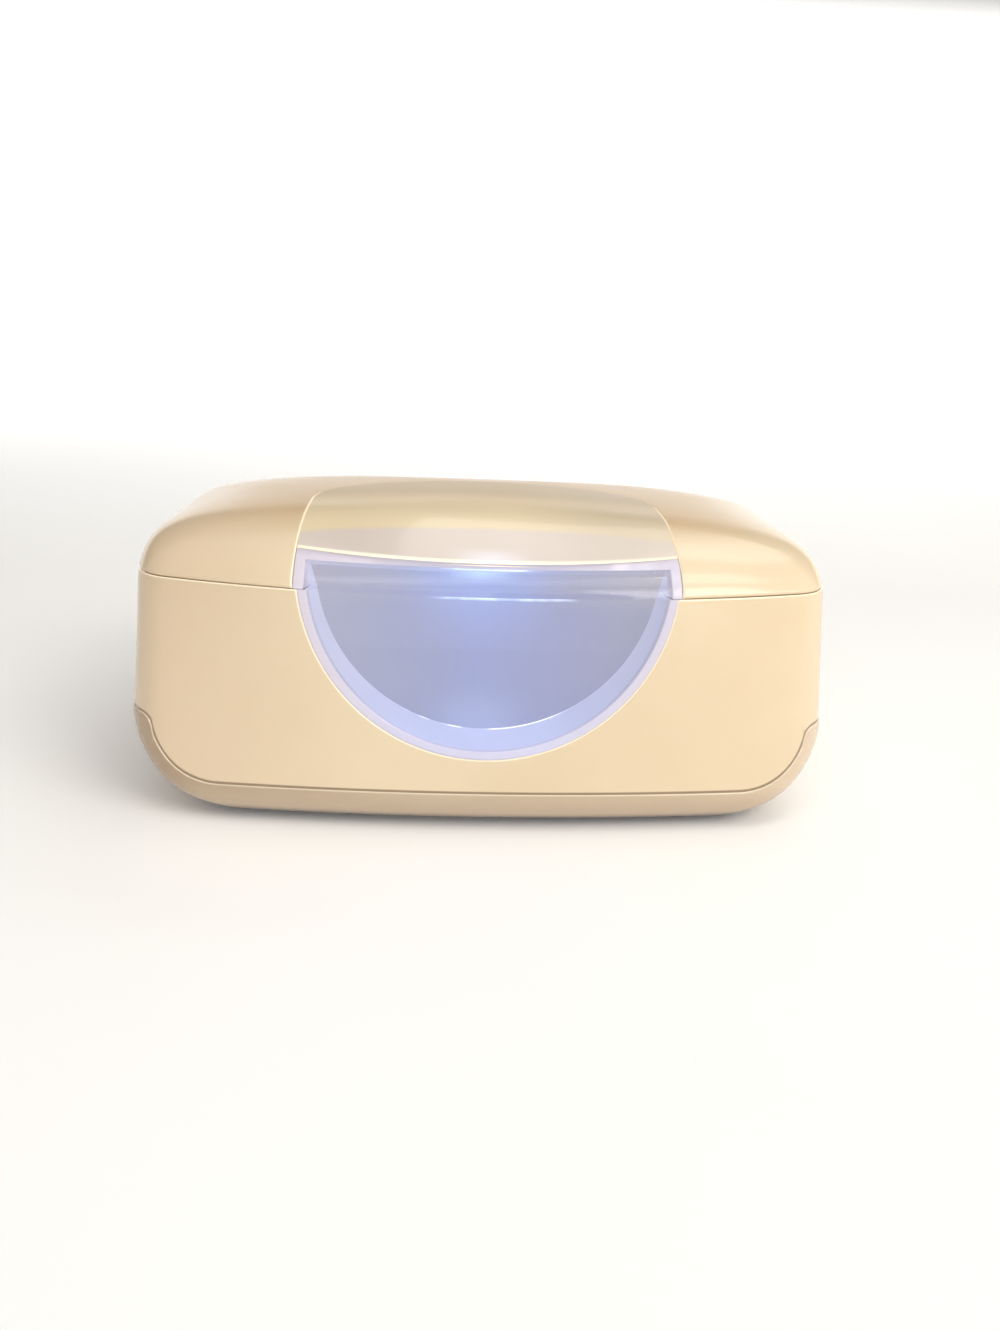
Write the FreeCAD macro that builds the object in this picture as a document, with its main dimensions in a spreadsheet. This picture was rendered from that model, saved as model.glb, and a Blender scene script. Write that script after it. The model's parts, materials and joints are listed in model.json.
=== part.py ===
"""Warmer for folded wipes: a rounded box with a hinged lid, a half-round window and a night light.

Millimetres. +X right, +Y towards the hinge, +Z up. The origin is the middle of the footprint on the table.
"""
import FreeCAD
import Part
import Sketcher
import functools
import math
import os

from FreeCAD import Placement, Rotation, Vector

DIMENSIONS = {
    # outer form
    "seam_half_width": 125.0,
    "widest_half_width": 128.3,
    "front_reach": 85.25,
    "rear_reach": 77.3,
    "base_height": 2.0,
    "side_corner": 35.8,
    "lower_edge": 10.4,
    "roll_start": 87.25,
    "crest_height": 110.6,
    "crest_shift": 1.5,
    "bow_low": 909.0,
    "bow_seam": 370.0,
    "bow_rear": 1500.0,
    "plan_corner": 17.5,
    "side_power": 4.3,
    "side_root": 1.8,
    "front_power": 1.8,
    "front_root": 2.59,
    # shells
    "wall": 2.4,
    "seam_height": 88.2,
    "seam_gap": 0.5,
    "cradle_proud": 0.5,
    "cradle_front": 15.9,
    "cradle_side": 39.3,
    "cradle_flat": 95.0,
    "cradle_corner": 24.0,
    "cradle_flare": 4.5,
    # window
    "window_height": 94.2,
    "window_radius": 65.6,
    "flange_inner": 62.3,
    "tunnel_end_radius": 60.6,
    "tub_window_radius": 60.1,
    "tub_window_front": 69.25,
    "pane": 2.0,
    "play": 0.2,
    # lid panel
    "panel_half_width": 66.8,
    "panel_rear": 19.0,
    "panel_bow": 105.0,
    "panel_corner": 28.0,
    "panel_groove": 0.3,
    "panel_proud": 0.3,
    "pane_top": 96.7,
    "lip_height": 99.8,
    "lip_reach": 80.9,
    "lip_end_reach": 65.1,
    "lip_fade": 108.5,
    "backing_front": 56.0,
    # tub
    "tub_half_length": 102.0,
    "tub_front": 64.25,
    "tub_rear": 60.0,
    "tub_floor": 12.0,
    "tub_rim": 87.7,
    "tub_wall": 2.2,
    "tub_corner": 16.0,
    "rim_inset": 3.6,
    "sight_radius": 57.0,
    # hinge
    "hinge_rear": 81.75,
    "barrel_radius": 4.0,
    "pin_radius": 1.25,
    "pin_length": 27.0,
    "running_clearance": 0.05,
    "hinge_station": 56.0,
    "knuckle_play": 0.3,
    # lid inside
    "liner_bottom": 90.0,
    "liner_thick": 1.8,
    "liner_inset": 2.9,
    "heater_length": 172.0,
    "heater_width": 92.0,
    "heater_thick": 1.2,
    "heater_base": 91.85,
    "mat_length": 148.0,
    "mat_width": 74.0,
    "mat_thick": 1.0,
    "mat_base": 93.1,
    "foam_length": 146.0,
    "foam_width": 72.0,
    "foam_thick": 5.0,
    "foam_base": 94.2,
    "gasket_half_length": 100.0,
    "gasket_front": 62.25,
    "gasket_rear": 58.0,
    "gasket_thick": 2.5,
    "gasket_bottom": 86.3,
    # base inside
    "pad_length": 190.0,
    "pad_width": 110.0,
    "pad_thick": 3.0,
    "pad_base": 6.6,
    "board_length": 62.0,
    "board_height": 32.0,
    "board_thick": 1.6,
    "board_rear": 68.6,
    "jack_x": -60.0,
    "jack_z": 32.0,
    "jack_face": 76.5,
    "jack_back": 66.0,
    "jack_bore": 2.75,
    "jack_depth": 9.0,
    "jack_neck": 4.0,
    "jack_pin": 1.05,
    "foot_radius": 7.0,
    "foot_x": 76.0,
    "foot_y": 54.0,
    "led_board_length": 36.0,
    "led_board_width": 6.0,
    "led_board_thick": 1.0,
    "led_board_base": 98.6,
}

FAR = 400.0
FUZZ = 0.001
SCREW_SHANK = 1.5
SCREW_HEAD = 2.9
HEAD_HEIGHT = 1.4
BASE_SCREWS = [(-85.0, -72.5), (85.0, -72.5), (-88.0, 66.0), (88.0, 66.0)]
TUB_SCREWS = [(-113.0, -42.0), (113.0, -42.0), (-113.0, 45.0), (113.0, 45.0)]
LID_SCREWS = [(-104.0, -34.0), (104.0, -34.0), (-104.0, 30.0), (104.0, 30.0), (-40.0, 68.0), (40.0, 68.0)]
BOARD_SCREWS = [(-73.0, 46.0), (-17.0, 46.0)]
HEATER_SCREWS = [(-81.0, -41.0), (81.0, -41.0), (-81.0, 41.0), (81.0, 41.0)]

doc = FreeCAD.newDocument("WipeWarmer")
sheet = doc.addObject("Spreadsheet::Sheet", "Dimensions")
for row, (alias, value) in enumerate(DIMENSIONS.items(), 1):
    sheet.set("A%d" % row, alias)
    sheet.set("B%d" % row, str(value))
    sheet.setAlias("B%d" % row, alias)
doc.recompute()

parts = []


def dim(alias):
    """A driving dimension, read from the sheet."""
    return float(sheet.get(alias))


def keep(item, label):
    """Names a finished sub-part, whose label is also its file name."""
    item.Label = label
    parts.append(item)
    return item


def add_shape(label, shape):
    """A sub-part whose sculpted surface is computed from the sheet."""
    item = doc.addObject("Part::Feature", label)
    item.Shape = shape.removeSplitter()
    item.Placement = Placement()
    return keep(item, label)


def cut(base, *tools):
    return base.cut(tools, FUZZ)


def common(base, *tools):
    """What the base shares with every one of the tools."""
    for tool in tools:
        base = base.common((tool,), FUZZ)
    return base


def fuse(base, *tools):
    return base.fuse(tools, FUZZ)


def bind(item, **expressions):
    """Binds properties of an object to the sheet; a double underscore stands for a dot."""
    for name, text in expressions.items():
        for alias in sorted(DIMENSIONS, key=len, reverse=True):
            text = text.replace("<%s>" % alias, "Dimensions.%s" % alias)
        item.setExpression(name.replace("__", "."), text)


# ---------------------------------------------------------------- outer form


def bowed_side(edge, bow, sign, half_width, corner):
    """Half a bowed side: its middle, the joint with the corner arc, mid corner, and the corner's end."""
    centre = edge - sign * bow
    corner_x = half_width - corner
    corner_y = centre + sign * math.sqrt((bow - corner) ** 2 - corner_x ** 2)
    angle = math.atan2(corner_x, sign * (corner_y - centre))
    join = (bow * math.sin(angle), centre + sign * bow * math.cos(angle))
    turn = (angle + math.pi / 2) / 2
    middle = (corner_x + corner * math.sin(turn), corner_y + sign * corner * math.cos(turn))
    return (0.0, edge), join, middle, (half_width, corner_y)


def outline(height, half_width, front, rear, bow_front, bow_rear, corner):
    """Closed level outline: bowed front and rear, straight sides, tangent corner arcs."""

    def right(point):
        return Vector(point[0], point[1], height)

    def left(point):
        return Vector(-point[0], point[1], height)

    f_mid, f_join, f_turn, f_end = bowed_side(front, bow_front, -1, half_width, corner)
    r_mid, r_join, r_turn, r_end = bowed_side(rear, bow_rear, 1, half_width, corner)
    edges = [
        Part.Arc(left(f_join), right(f_mid), right(f_join)),
        Part.Arc(right(f_join), right(f_turn), right(f_end)),
        Part.LineSegment(right(f_end), right(r_end)),
        Part.Arc(right(r_end), right(r_turn), right(r_join)),
        Part.Arc(right(r_join), right(r_mid), left(r_join)),
        Part.Arc(left(r_join), left(r_turn), left(r_end)),
        Part.LineSegment(left(r_end), left(f_end)),
        Part.Arc(left(f_end), left(f_turn), left(f_join)),
    ]
    return Part.Wire([edge.toShape() for edge in edges])


def rise_at(height, inset=0.0):
    """Share of the way from the start of the roll to the crest."""
    start = dim("roll_start")
    return min(1.0, max(0.0, (height - start) / (dim("crest_height") - inset - start)))


def level(height, inset=0.0):
    """Half width, front, rear, both bow radii and corner radius of the form at one height, inset evenly."""
    base = dim("base_height") + max(inset, 0.0)
    side_corner = dim("side_corner") - inset
    lower_edge = dim("lower_edge") - inset
    widest_at = base + side_corner
    share = min(1.0, max(0.0, (height - widest_at) / (dim("seam_height") - widest_at)))
    half = dim("widest_half_width") + (dim("seam_half_width") - dim("widest_half_width")) * share - inset
    drop = min(side_corner, max(0.0, side_corner - (height - base)))
    half -= side_corner - math.sqrt(side_corner ** 2 - drop ** 2)
    drop = min(lower_edge, max(0.0, lower_edge - (height - base)))
    tuck = lower_edge - math.sqrt(lower_edge ** 2 - drop ** 2)
    rise = rise_at(height, inset)
    half *= (1.0 - rise ** dim("side_power")) ** (1.0 / dim("side_root"))
    reach = (1.0 - rise ** dim("front_power")) ** (1.0 / dim("front_root"))
    crest = -dim("crest_shift")
    front = crest - (dim("front_reach") - inset - tuck + crest) * reach
    rear = crest + (dim("rear_reach") - inset - tuck - crest) * reach
    low = dim("cradle_front")
    share = min(1.0, max(0.0, (height - low) / (dim("seam_height") - low)))
    curvature = (1.0 - share) / dim("bow_low") + share / dim("bow_seam")
    shrink = 1.0 - 0.5 * rise
    bow = max((1.0 / curvature - inset) * shrink, 1.02 * half)
    bow_rear = max((dim("bow_rear") - inset) * shrink, 1.02 * half)
    corner = min(dim("plan_corner") - inset + 20.0 * rise, 0.49 * (rear - front), 0.8 * half)
    return half, front, rear, bow, bow_rear, corner


def lower_levels(inset):
    """Heights of the sections round the bottom edge, evenly turned."""
    base = dim("base_height") + max(inset, 0.0)
    radius = dim("side_corner") - inset
    steps = 10
    return [base + radius * (1.0 - math.cos(math.pi / 2 * i / steps)) for i in range(steps + 1)]


def upper_levels(inset, bottom):
    """Heights of the sections of the upper form, spaced evenly along its rolled front."""
    start = dim("roll_start")
    top = dim("crest_height") - inset
    heights = [bottom]
    steps = 12
    for i in range(1, steps + 1):
        reach = 1.0 - 0.96 * (i / steps) ** 1.6
        rise = (1.0 - reach ** dim("front_root")) ** (1.0 / dim("front_power"))
        height = start + (top - start) * rise
        if height > bottom + 1.0:
            heights.append(height)
    return heights


def lofted(heights, inset):
    """Solid through the level outlines at the given heights."""
    wires = []
    for height in heights:
        wires.append(outline(height, *level(height, inset)))
    return Part.makeLoft(wires, True, False)


@functools.lru_cache(maxsize=None)
def lower_form(inset, top):
    """Lower half of the form: a rounded bottom, and walls that run straight up from it."""
    heights = lower_levels(inset)
    walls = [outline(height, *level(height, inset)) for height in (heights[-1], top)]
    return fuse(lofted(heights, inset), Part.makeLoft(walls, True, True))


@functools.lru_cache(maxsize=None)
def upper_form(inset, bottom):
    return lofted(upper_levels(inset, bottom), inset)


def slab(bottom, top, inset):
    """Prism between two heights on the level outline of its upper height, which is the smaller one."""
    face = Part.Face(outline(bottom, *level(top, inset)))
    return face.extrude(Vector(0, 0, top - bottom))


def block(low, high):
    """Box from one corner to the other."""
    return Part.makeBox(high[0] - low[0], high[1] - low[1], high[2] - low[2], Vector(*low))


def below(height):
    return block((-FAR, -FAR, -FAR), (FAR, FAR, height))


def upright(x, y, bottom, top, radius):
    return Part.makeCylinder(radius, top - bottom, Vector(x, y, bottom), Vector(0, 0, 1))


def crosswise(x_from, x_to, radius):
    """Cylinder round the hinge axis between two stations along it."""
    start = Vector(x_from, dim("hinge_rear"), dim("seam_height"))
    return Part.makeCylinder(radius, x_to - x_from, start, Vector(1, 0, 0))


def forward(radius, front, rear):
    """Cylinder round the window's axis between two places along Y."""
    return Part.makeCylinder(radius, rear - front, Vector(0, front, dim("window_height")), Vector(0, 1, 0))


# ---------------------------------------------------------------- body shells


def cradle_region(drop):
    """Everything under the cradle's upper edge: level along the front, stepping up at the corners."""
    front = dim("cradle_front") - drop
    side = dim("cradle_side") - drop
    flat = dim("cradle_flat")
    corner = dim("cradle_corner")
    flare = dim("cradle_flare")
    corner_z = front + corner
    flare_z = side - flare
    flare_x = flat + math.sqrt((corner + flare) ** 2 - (corner_z - flare_z) ** 2)
    lean = math.atan2(flare_x - flat, corner_z - flare_z)

    def at(x, z):
        return Vector(x, -FAR, z)

    def one_side(sign):
        def on_corner(angle):
            return at(sign * (flat + corner * math.sin(angle)), corner_z - corner * math.cos(angle))

        def on_flare(angle):
            return at(sign * (flare_x - flare * math.sin(angle)), flare_z + flare * math.cos(angle))

        return [
            Part.Arc(on_corner(0.0), on_corner(lean / 2), on_corner(lean)).toShape(),
            Part.Arc(on_flare(lean), on_flare(lean / 2), on_flare(0.0)).toShape(),
            Part.LineSegment(on_flare(0.0), at(sign * FAR, side)).toShape(),
            Part.LineSegment(at(sign * FAR, side), at(sign * FAR, -FAR)).toShape(),
        ]

    middle = Part.LineSegment(at(-flat, front), at(flat, front)).toShape()
    floor = Part.LineSegment(at(-FAR, -FAR), at(FAR, -FAR)).toShape()
    wire = Part.Wire(Part.__sortEdges__(one_side(-1) + [middle] + one_side(1) + [floor]))
    return Part.Face(wire).extrude(Vector(0, 2 * FAR, 0))


def knuckle_spans(lid):
    """Stretches along the hinge axis: one knuckle of the lid between two of the body, at each side."""
    station = dim("hinge_station")
    inner = 5.0
    outer = 13.0
    play = dim("knuckle_play")
    spans = []
    for sign in (-1, 1):
        if lid:
            spans.append((sign * station - inner + play, sign * station + inner - play))
        else:
            spans.append((sign * station - outer, sign * station - inner))
            spans.append((sign * station + inner, sign * station + outer))
    return spans


def gusset(x_from, x_to, points):
    """Web under a knuckle, from its profile in the YZ plane."""
    corners = [Vector(x_from, y, z) for y, z in points]
    face = Part.Face(Part.makePolygon(corners + corners[:1]))
    return face.extrude(Vector(x_to - x_from, 0, 0))


def body_knuckle(x_from, x_to):
    axis_y = dim("hinge_rear")
    axis_z = dim("seam_height")
    radius = dim("barrel_radius")
    wall_y = dim("rear_reach") - dim("wall") - 1.0
    web = gusset(x_from, x_to, [
        (wall_y, axis_z - 3.0 * radius),
        (axis_y + radius * 0.8, axis_z - radius * 0.6),
        (axis_y, axis_z),
        (wall_y, axis_z - dim("seam_gap") / 2),
    ])
    return fuse(crosswise(x_from, x_to, radius), web)


def lid_knuckle(x_from, x_to):
    axis_y = dim("hinge_rear")
    axis_z = dim("seam_height")
    radius = dim("barrel_radius")
    web = gusset(x_from, x_to, [
        (axis_y - 10.0, axis_z + dim("seam_gap") / 2),
        (axis_y, axis_z),
        (axis_y + radius * 0.45, axis_z + radius * 0.89),
        (axis_y - 14.0, axis_z + 2.2 * radius),
    ])
    return fuse(crosswise(x_from, x_to, radius), web)


def make_body_shell():
    top = dim("seam_height") - dim("seam_gap") / 2
    wall = dim("wall")
    outer = lower_form(0.0, top)
    inner = lower_form(wall, top + 1.0)
    shell = cut(outer, inner, cradle_region(0.0))
    shell = cut(shell, forward(dim("window_radius"), -FAR, 0.0))
    # posts: four carry the tub's rim, four take the screws of the cradle
    posts = []
    for x, y in TUB_SCREWS:
        side = math.copysign(1, x)
        post = upright(x, y, 56.0, dim("tub_rim") - 2.5, 4.0)
        web = block((min(x, side * 126), y - 1.2, 56.0), (max(x, side * 126), y + 1.2, dim("tub_rim") - 2.5))
        posts.append(cut(fuse(post, web), upright(x, y, 60.0, FAR, SCREW_SHANK)))
    for x, y in BASE_SCREWS:
        side = math.copysign(1, y)
        post = upright(x, y, 7.3, 44.0, 3.4)
        web = block((x - 1.2, min(y, side * 84), 20.0), (x + 1.2, max(y, side * 84), 44.0))
        posts.append(cut(fuse(post, web), upright(x, y, 0.0, 22.0, SCREW_SHANK)))
    for x, z in BOARD_SCREWS:
        start = Vector(x, dim("board_rear") + 0.05, z)
        post = Part.makeCylinder(2.6, 8.0, start, Vector(0, 1, 0))
        posts.append(cut(post, Part.makeCylinder(1.0, 5.0, start, Vector(0, 1, 0))))
    trim = lower_form(wall / 2, top + 1.0)
    for post in posts:
        shell = fuse(shell, common(post, trim))
    # hinge: the body's knuckles stand behind the rear wall, with room for the lid's between them
    for x_from, x_to in knuckle_spans(False):
        shell = fuse(shell, cut(body_knuckle(x_from, x_to), inner))
    for x_from, x_to in knuckle_spans(True):
        play = dim("knuckle_play")
        shell = cut(shell, crosswise(x_from - play, x_to + play, dim("barrel_radius") + 0.5))
    shell = cut(shell, crosswise(-FAR, FAR, dim("pin_radius")))
    inlet_at = Vector(dim("jack_x"), dim("board_rear") + 1.0, dim("jack_z"))
    inlet = Part.makeCylinder(dim("jack_neck") + dim("play"), 20.0, inlet_at, Vector(0, 1, 0))
    return add_shape("body_shell", cut(shell, inlet))


def make_base_cradle():
    wall = dim("wall")
    outer = lower_form(-dim("cradle_proud"), 60.0)
    inner = lower_form(wall, 61.0)
    tray = common(cut(outer, inner), cradle_region(dim("seam_gap")))
    base = dim("base_height")
    for x, y in BASE_SCREWS:
        boss = common(upright(x, y, base + 0.5, 7.1, 5.6), lower_form(wall / 2, 60.0))
        tray = fuse(tray, boss)
        tray = cut(tray, upright(x, y, 0.0, 4.4, 3.3))
        tray = cut(tray, upright(x, y, 0.0, 10.0, 1.8))
    # cooling slots under the board
    for i in range(5):
        x = -66.0 + 12.0 * i
        tray = cut(tray, block((x, 58.0, 0.0), (x + 3.0, 70.0, 10.0)))
    return add_shape("base_cradle", tray)


# ---------------------------------------------------------------- window


def make_window_frame():
    top = dim("seam_height") - dim("seam_gap") / 2
    front = -FAR
    flange = forward(dim("window_radius") - dim("play"), front, 0.0)
    flange = cut(flange, forward(dim("flange_inner"), front, 0.0))
    form = lower_form(0.0, top + 1.0)
    flange = cut(common(flange, form), lower_form(2.6, top + 2.0))
    rear = -dim("tub_window_front") - dim("play")
    reach = dim("front_reach")
    thick = 1.6
    cone_at = Vector(0, -reach, dim("window_height"))
    outer = Part.makeCone(dim("flange_inner") + thick, dim("tunnel_end_radius") + thick, rear + reach,
                          cone_at, Vector(0, 1, 0))
    inner = Part.makeCone(dim("flange_inner"), dim("tunnel_end_radius"), rear + reach,
                          cone_at, Vector(0, 1, 0))
    tunnel = common(cut(outer, inner), form)
    # rebate that the clear pane lies in
    depth = 0.15 + dim("pane") + dim("play")
    seat = cut(forward(dim("flange_inner"), front, 0.0), lower_form(depth, top + 2.0))
    return add_shape("window_frame", common(cut(fuse(flange, tunnel), seat), below(top)))


def make_window_lens():
    top = dim("seam_height") - dim("seam_gap") / 2
    disc = forward(dim("flange_inner") - dim("play"), -FAR, 0.0)
    pane = cut(lower_form(0.15, top + 1.0), lower_form(0.15 + dim("pane"), top + 2.0))
    return add_shape("window_lens", common(disc, pane, below(top)))


def half_round(label, radius, thick, front, top, hole=None):
    """Flat pane or ring standing across the window's axis, cut off level with the rim."""
    disc = doc.addObject("Part::Cylinder", label + "_disc")
    disc.Placement = Placement(Vector(0, 0, 0), Rotation(Vector(1, 0, 0), -90))
    bind(disc, Radius=radius, Height=thick, Placement__Base__y=front, Placement__Base__z="<window_height>")
    trim = doc.addObject("Part::Box", label + "_trim")
    trim.Length = FAR
    trim.Width = FAR
    trim.Height = FAR
    bind(trim, Placement__Base__z=top)
    trim.Placement.Base.x = -FAR / 2
    trim.Placement.Base.y = -FAR / 2
    blank = disc
    if hole:
        bore = doc.addObject("Part::Cylinder", label + "_hole")
        bore.Placement = Placement(Vector(0, -FAR / 2, 0), Rotation(Vector(1, 0, 0), -90))
        bore.Height = FAR
        bind(bore, Radius=hole, Placement__Base__z="<window_height>")
        blank = doc.addObject("Part::Cut", label + "_ring")
        blank.Base = disc
        blank.Tool = bore
    pane = doc.addObject("Part::Cut", label)
    pane.Base = blank
    pane.Tool = trim
    return keep(pane, label)


# ---------------------------------------------------------------- tub


def rounded_box(half_length, front, rear, bottom, top, corner):
    """Upright box with rounded vertical edges; the length is centred on X."""
    solid = block((-half_length, front, bottom), (half_length, rear, top))
    uprights = [e for e in solid.Edges if abs(e.tangentAt(e.FirstParameter).z) > 0.9]
    return solid.makeFillet(corner, uprights)


def make_tub():
    wall = dim("tub_wall")
    half = dim("tub_half_length")
    front = -dim("tub_front")
    rear = dim("tub_rear")
    floor = dim("tub_floor")
    rim = dim("tub_rim")
    corner = dim("tub_corner")
    outer = rounded_box(half + wall, front - wall, rear + wall, floor - wall, rim, corner + wall)
    plate = slab(rim - 2.4, rim, dim("rim_inset"))
    well = rounded_box(half, front, rear, floor, rim + 10.0, corner)
    # the rim leaves the light tunnel in front of the window open
    reach = dim("window_radius") + 1.0
    notch = block((-reach, -FAR, 60.0), (reach, front - wall - 0.1, FAR))
    tub = cut(fuse(outer, cut(plate, notch)), well)
    tub = cut(tub, forward(dim("sight_radius"), -FAR, 0.0))
    lower = min(e.BoundBox.ZMin for e in tub.Edges)
    rounded = [e for e in tub.Edges if e.BoundBox.ZMax < lower + 0.01 and e.BoundBox.ZLength < 0.01]
    tub = tub.makeFillet(1.5, rounded)
    for x, y in TUB_SCREWS:
        tub = cut(tub, upright(x, y, 70.0, FAR, 1.8))
    return add_shape("tub", tub)


# ---------------------------------------------------------------- lid


def panel_prism(grow):
    """Plan area of the lid's panel: straight sides, a bowed rear with large corners, open to the front."""
    half = dim("panel_half_width") + grow
    corner = dim("panel_corner") + grow
    bow = dim("panel_bow") + grow
    middle, join, turn, end = bowed_side(dim("panel_rear") + grow, bow, 1, half, corner)
    bottom = 60.0

    def at(point, sign):
        return Vector(sign * point[0], point[1], bottom)

    open_end = (half, -FAR)
    edges = [
        Part.LineSegment(at(open_end, -1), at(open_end, 1)),
        Part.LineSegment(at(open_end, 1), at(end, 1)),
        Part.Arc(at(end, 1), at(turn, 1), at(join, 1)),
        Part.Arc(at(join, 1), at(middle, 1), at(join, -1)),
        Part.Arc(at(join, -1), at(turn, -1), at(end, -1)),
        Part.LineSegment(at(end, -1), at(open_end, -1)),
    ]
    return Part.Face(Part.Wire([edge.toShape() for edge in edges])).extrude(Vector(0, 0, 100.0))


def lip_level(height, inset):
    """Front and bow of the panel, which stands out as a finger lip and fades into the lid above it."""
    front, _, bow = level(height, inset)[1:4]
    lip = dim("lip_height")
    fade = dim("lip_fade")
    hull_front = level(lip, 0.0)[1]
    hull_sag = dim("panel_half_width") ** 2 / (2.0 * bow)
    share = max(0.0, min(1.0, (fade - height) / (fade - lip))) ** 2
    bulge = (dim("lip_reach") + hull_front) * share
    sag = hull_sag + bulge
    return front - bulge, (dim("panel_half_width") ** 2 + sag ** 2) / (2.0 * sag)


@functools.lru_cache(maxsize=None)
def panel_form(inset):
    """Upper form with the finger lip, from the lip's edge to the crest."""
    wires = []
    for height in upper_levels(inset, dim("lip_height")):
        half, _, rear, _, bow_rear, corner = level(height, inset)
        lip_front, lip_bow = lip_level(height, inset)
        wires.append(outline(height, half, lip_front, rear, lip_bow, bow_rear, corner))
    return Part.makeLoft(wires, True, False)


def lip_block(back):
    """The lip's underside: a ruled face from the pane's top edge out to the lip's edge."""
    half = dim("panel_half_width")

    def slice_at(height, middle, end):
        rear = -55.0
        corners = [Vector(-half, -end + back, height), Vector(0, -middle + back, height),
                   Vector(half, -end + back, height), Vector(half, rear, height), Vector(-half, rear, height)]
        edges = [Part.Arc(corners[0], corners[1], corners[2]).toShape()]
        edges += [Part.LineSegment(a, b).toShape() for a, b in
                  ((corners[2], corners[3]), (corners[3], corners[4]), (corners[4], corners[0]))]
        return Part.Wire(edges)

    pane_top = dim("pane_top")
    front = -level(pane_top)[1]
    bow = level(pane_top)[3]
    low = slice_at(pane_top, front, front - half ** 2 / (2.0 * bow))
    high = slice_at(dim("lip_height"), dim("lip_reach"), dim("lip_end_reach"))
    return Part.makeLoft([low, high], True, True)


def make_lid_panel():
    wall = dim("wall")
    proud = dim("panel_proud")
    prism = panel_prism(0.0)
    cap = common(cut(panel_form(-proud), panel_form(wall - proud)), prism)
    lip = cut(lip_block(0.0), lip_block(wall))
    bottom = dim("seam_height") + dim("seam_gap") / 2
    leg_in = dim("panel_half_width") - 3.8
    legs = cut(upper_form(0.0, bottom), upper_form(wall, bottom - 0.5))
    legs = common(legs, block((-FAR, -FAR, bottom), (FAR, -50.0, dim("lip_height") + 0.2)))
    legs = cut(common(legs, prism), block((-leg_in, -FAR, 0.0), (leg_in, FAR, FAR)))
    return add_shape("lid_panel", fuse(cap, lip, legs))


def make_panel_backing():
    gap = dim("wall") + 0.1
    sheet_form = common(cut(panel_form(gap), panel_form(gap + 1.2)), panel_prism(-4.0))
    keep_rear = block((-FAR, -dim("backing_front"), 0.0), (FAR, FAR, FAR))
    return add_shape("panel_backing", common(sheet_form, keep_rear))


def make_lid_lens():
    bottom = dim("seam_height") + dim("seam_gap") / 2
    half = dim("panel_half_width") - 3.8 - dim("play")
    pane = cut(upper_form(0.15, bottom), upper_form(0.15 + dim("pane"), bottom - 0.5))
    box = block((-half, -FAR, bottom), (half, -50.0, dim("pane_top") - 0.1))
    return add_shape("lid_lens", common(pane, box))


def make_lid_shell():
    wall = dim("wall")
    bottom = dim("seam_height") + dim("seam_gap") / 2
    groove = dim("panel_groove")
    outer = upper_form(0.0, bottom)
    inner = upper_form(wall, bottom - 0.5)
    shell = cut(outer, inner, panel_prism(groove))
    # ledge under the edge of the panel, stepped down where the panel lies on it
    ledge = common(upper_form(wall - 0.6, bottom), panel_prism(3.0))
    ledge = cut(ledge, upper_form(wall + 2.0, bottom - 0.5), panel_prism(-2.5))
    ledge = cut(ledge, cut(panel_prism(groove), upper_form(wall + 0.5, bottom - 0.5)))
    ledge = common(ledge, block((-FAR, -60.0, 0.0), (FAR, FAR, FAR)))
    shell = fuse(shell, ledge)
    trim = upper_form(wall / 2, bottom)
    for x, y in LID_SCREWS:
        top = dim("crest_height")
        start = dim("liner_bottom") + dim("liner_thick") + 0.1
        post = common(upright(x, y, start, top, 3.4), trim)
        shell = fuse(shell, cut(post, upright(x, y, start - 1.0, start + 3.9, SCREW_SHANK)))
    for x_from, x_to in knuckle_spans(True):
        knuckle = cut(lid_knuckle(x_from, x_to), upper_form(wall, bottom - 0.5))
        shell = fuse(shell, knuckle)
    for x_from, x_to in knuckle_spans(False):
        play = dim("knuckle_play")
        shell = cut(shell, crosswise(x_from - play, x_to + play, dim("barrel_radius") + 0.5))
    bore = dim("pin_radius") + dim("running_clearance")
    return add_shape("lid_shell", cut(shell, crosswise(-FAR, FAR, bore)))


def make_lid_liner():
    bottom = dim("liner_bottom")
    thick = dim("liner_thick")
    plate = slab(bottom, bottom + thick, dim("liner_inset"))
    opening = rounded_box(dim("heater_length") / 2 - 4.0, -dim("heater_width") / 2 + 4.0,
                          dim("heater_width") / 2 - 4.0, 60.0, FAR, 8.0)
    front = -dim("tub_window_front") + dim("pane") + 0.3
    notch = block((-dim("panel_half_width"), -FAR, 0.0), (dim("panel_half_width"), front, FAR))
    plate = cut(plate, opening, notch)
    for x, y in LID_SCREWS:
        plate = cut(plate, upright(x, y, 80.0, FAR, 1.8))
    for x, y in HEATER_SCREWS:
        plate = cut(plate, upright(x, y, 80.0, FAR, 1.0))
    return add_shape("lid_liner", plate)


def make_lid_gasket():
    thick = dim("gasket_thick")
    half = dim("gasket_half_length")
    front = -dim("gasket_front")
    rear = dim("gasket_rear")
    bottom = dim("gasket_bottom")
    top = dim("liner_bottom") - 0.05
    outer = rounded_box(half, front, rear, bottom, top, 14.0)
    inner = rounded_box(half - thick, front + thick, rear - thick, bottom - 1.0, top + 1.0, 14.0 - thick)
    return add_shape("lid_gasket", cut(outer, inner))


# ---------------------------------------------------------------- plates, boards and small parts


def origin_plane(body, role):
    return next(f for f in body.Origin.OriginFeatures if f.Role == role)


def new_sketch(body, name, role="XY_Plane"):
    sketch = body.newObject("Sketcher::SketchObject", name)
    sketch.AttachmentSupport = [(origin_plane(body, role), "")]
    sketch.MapMode = "FlatFace"
    return sketch


def name_size(sketch, constraint, name, text):
    index = sketch.addConstraint(constraint)
    sketch.renameConstraint(index, name)
    bind(sketch, **{"Constraints__" + name: text})


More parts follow.
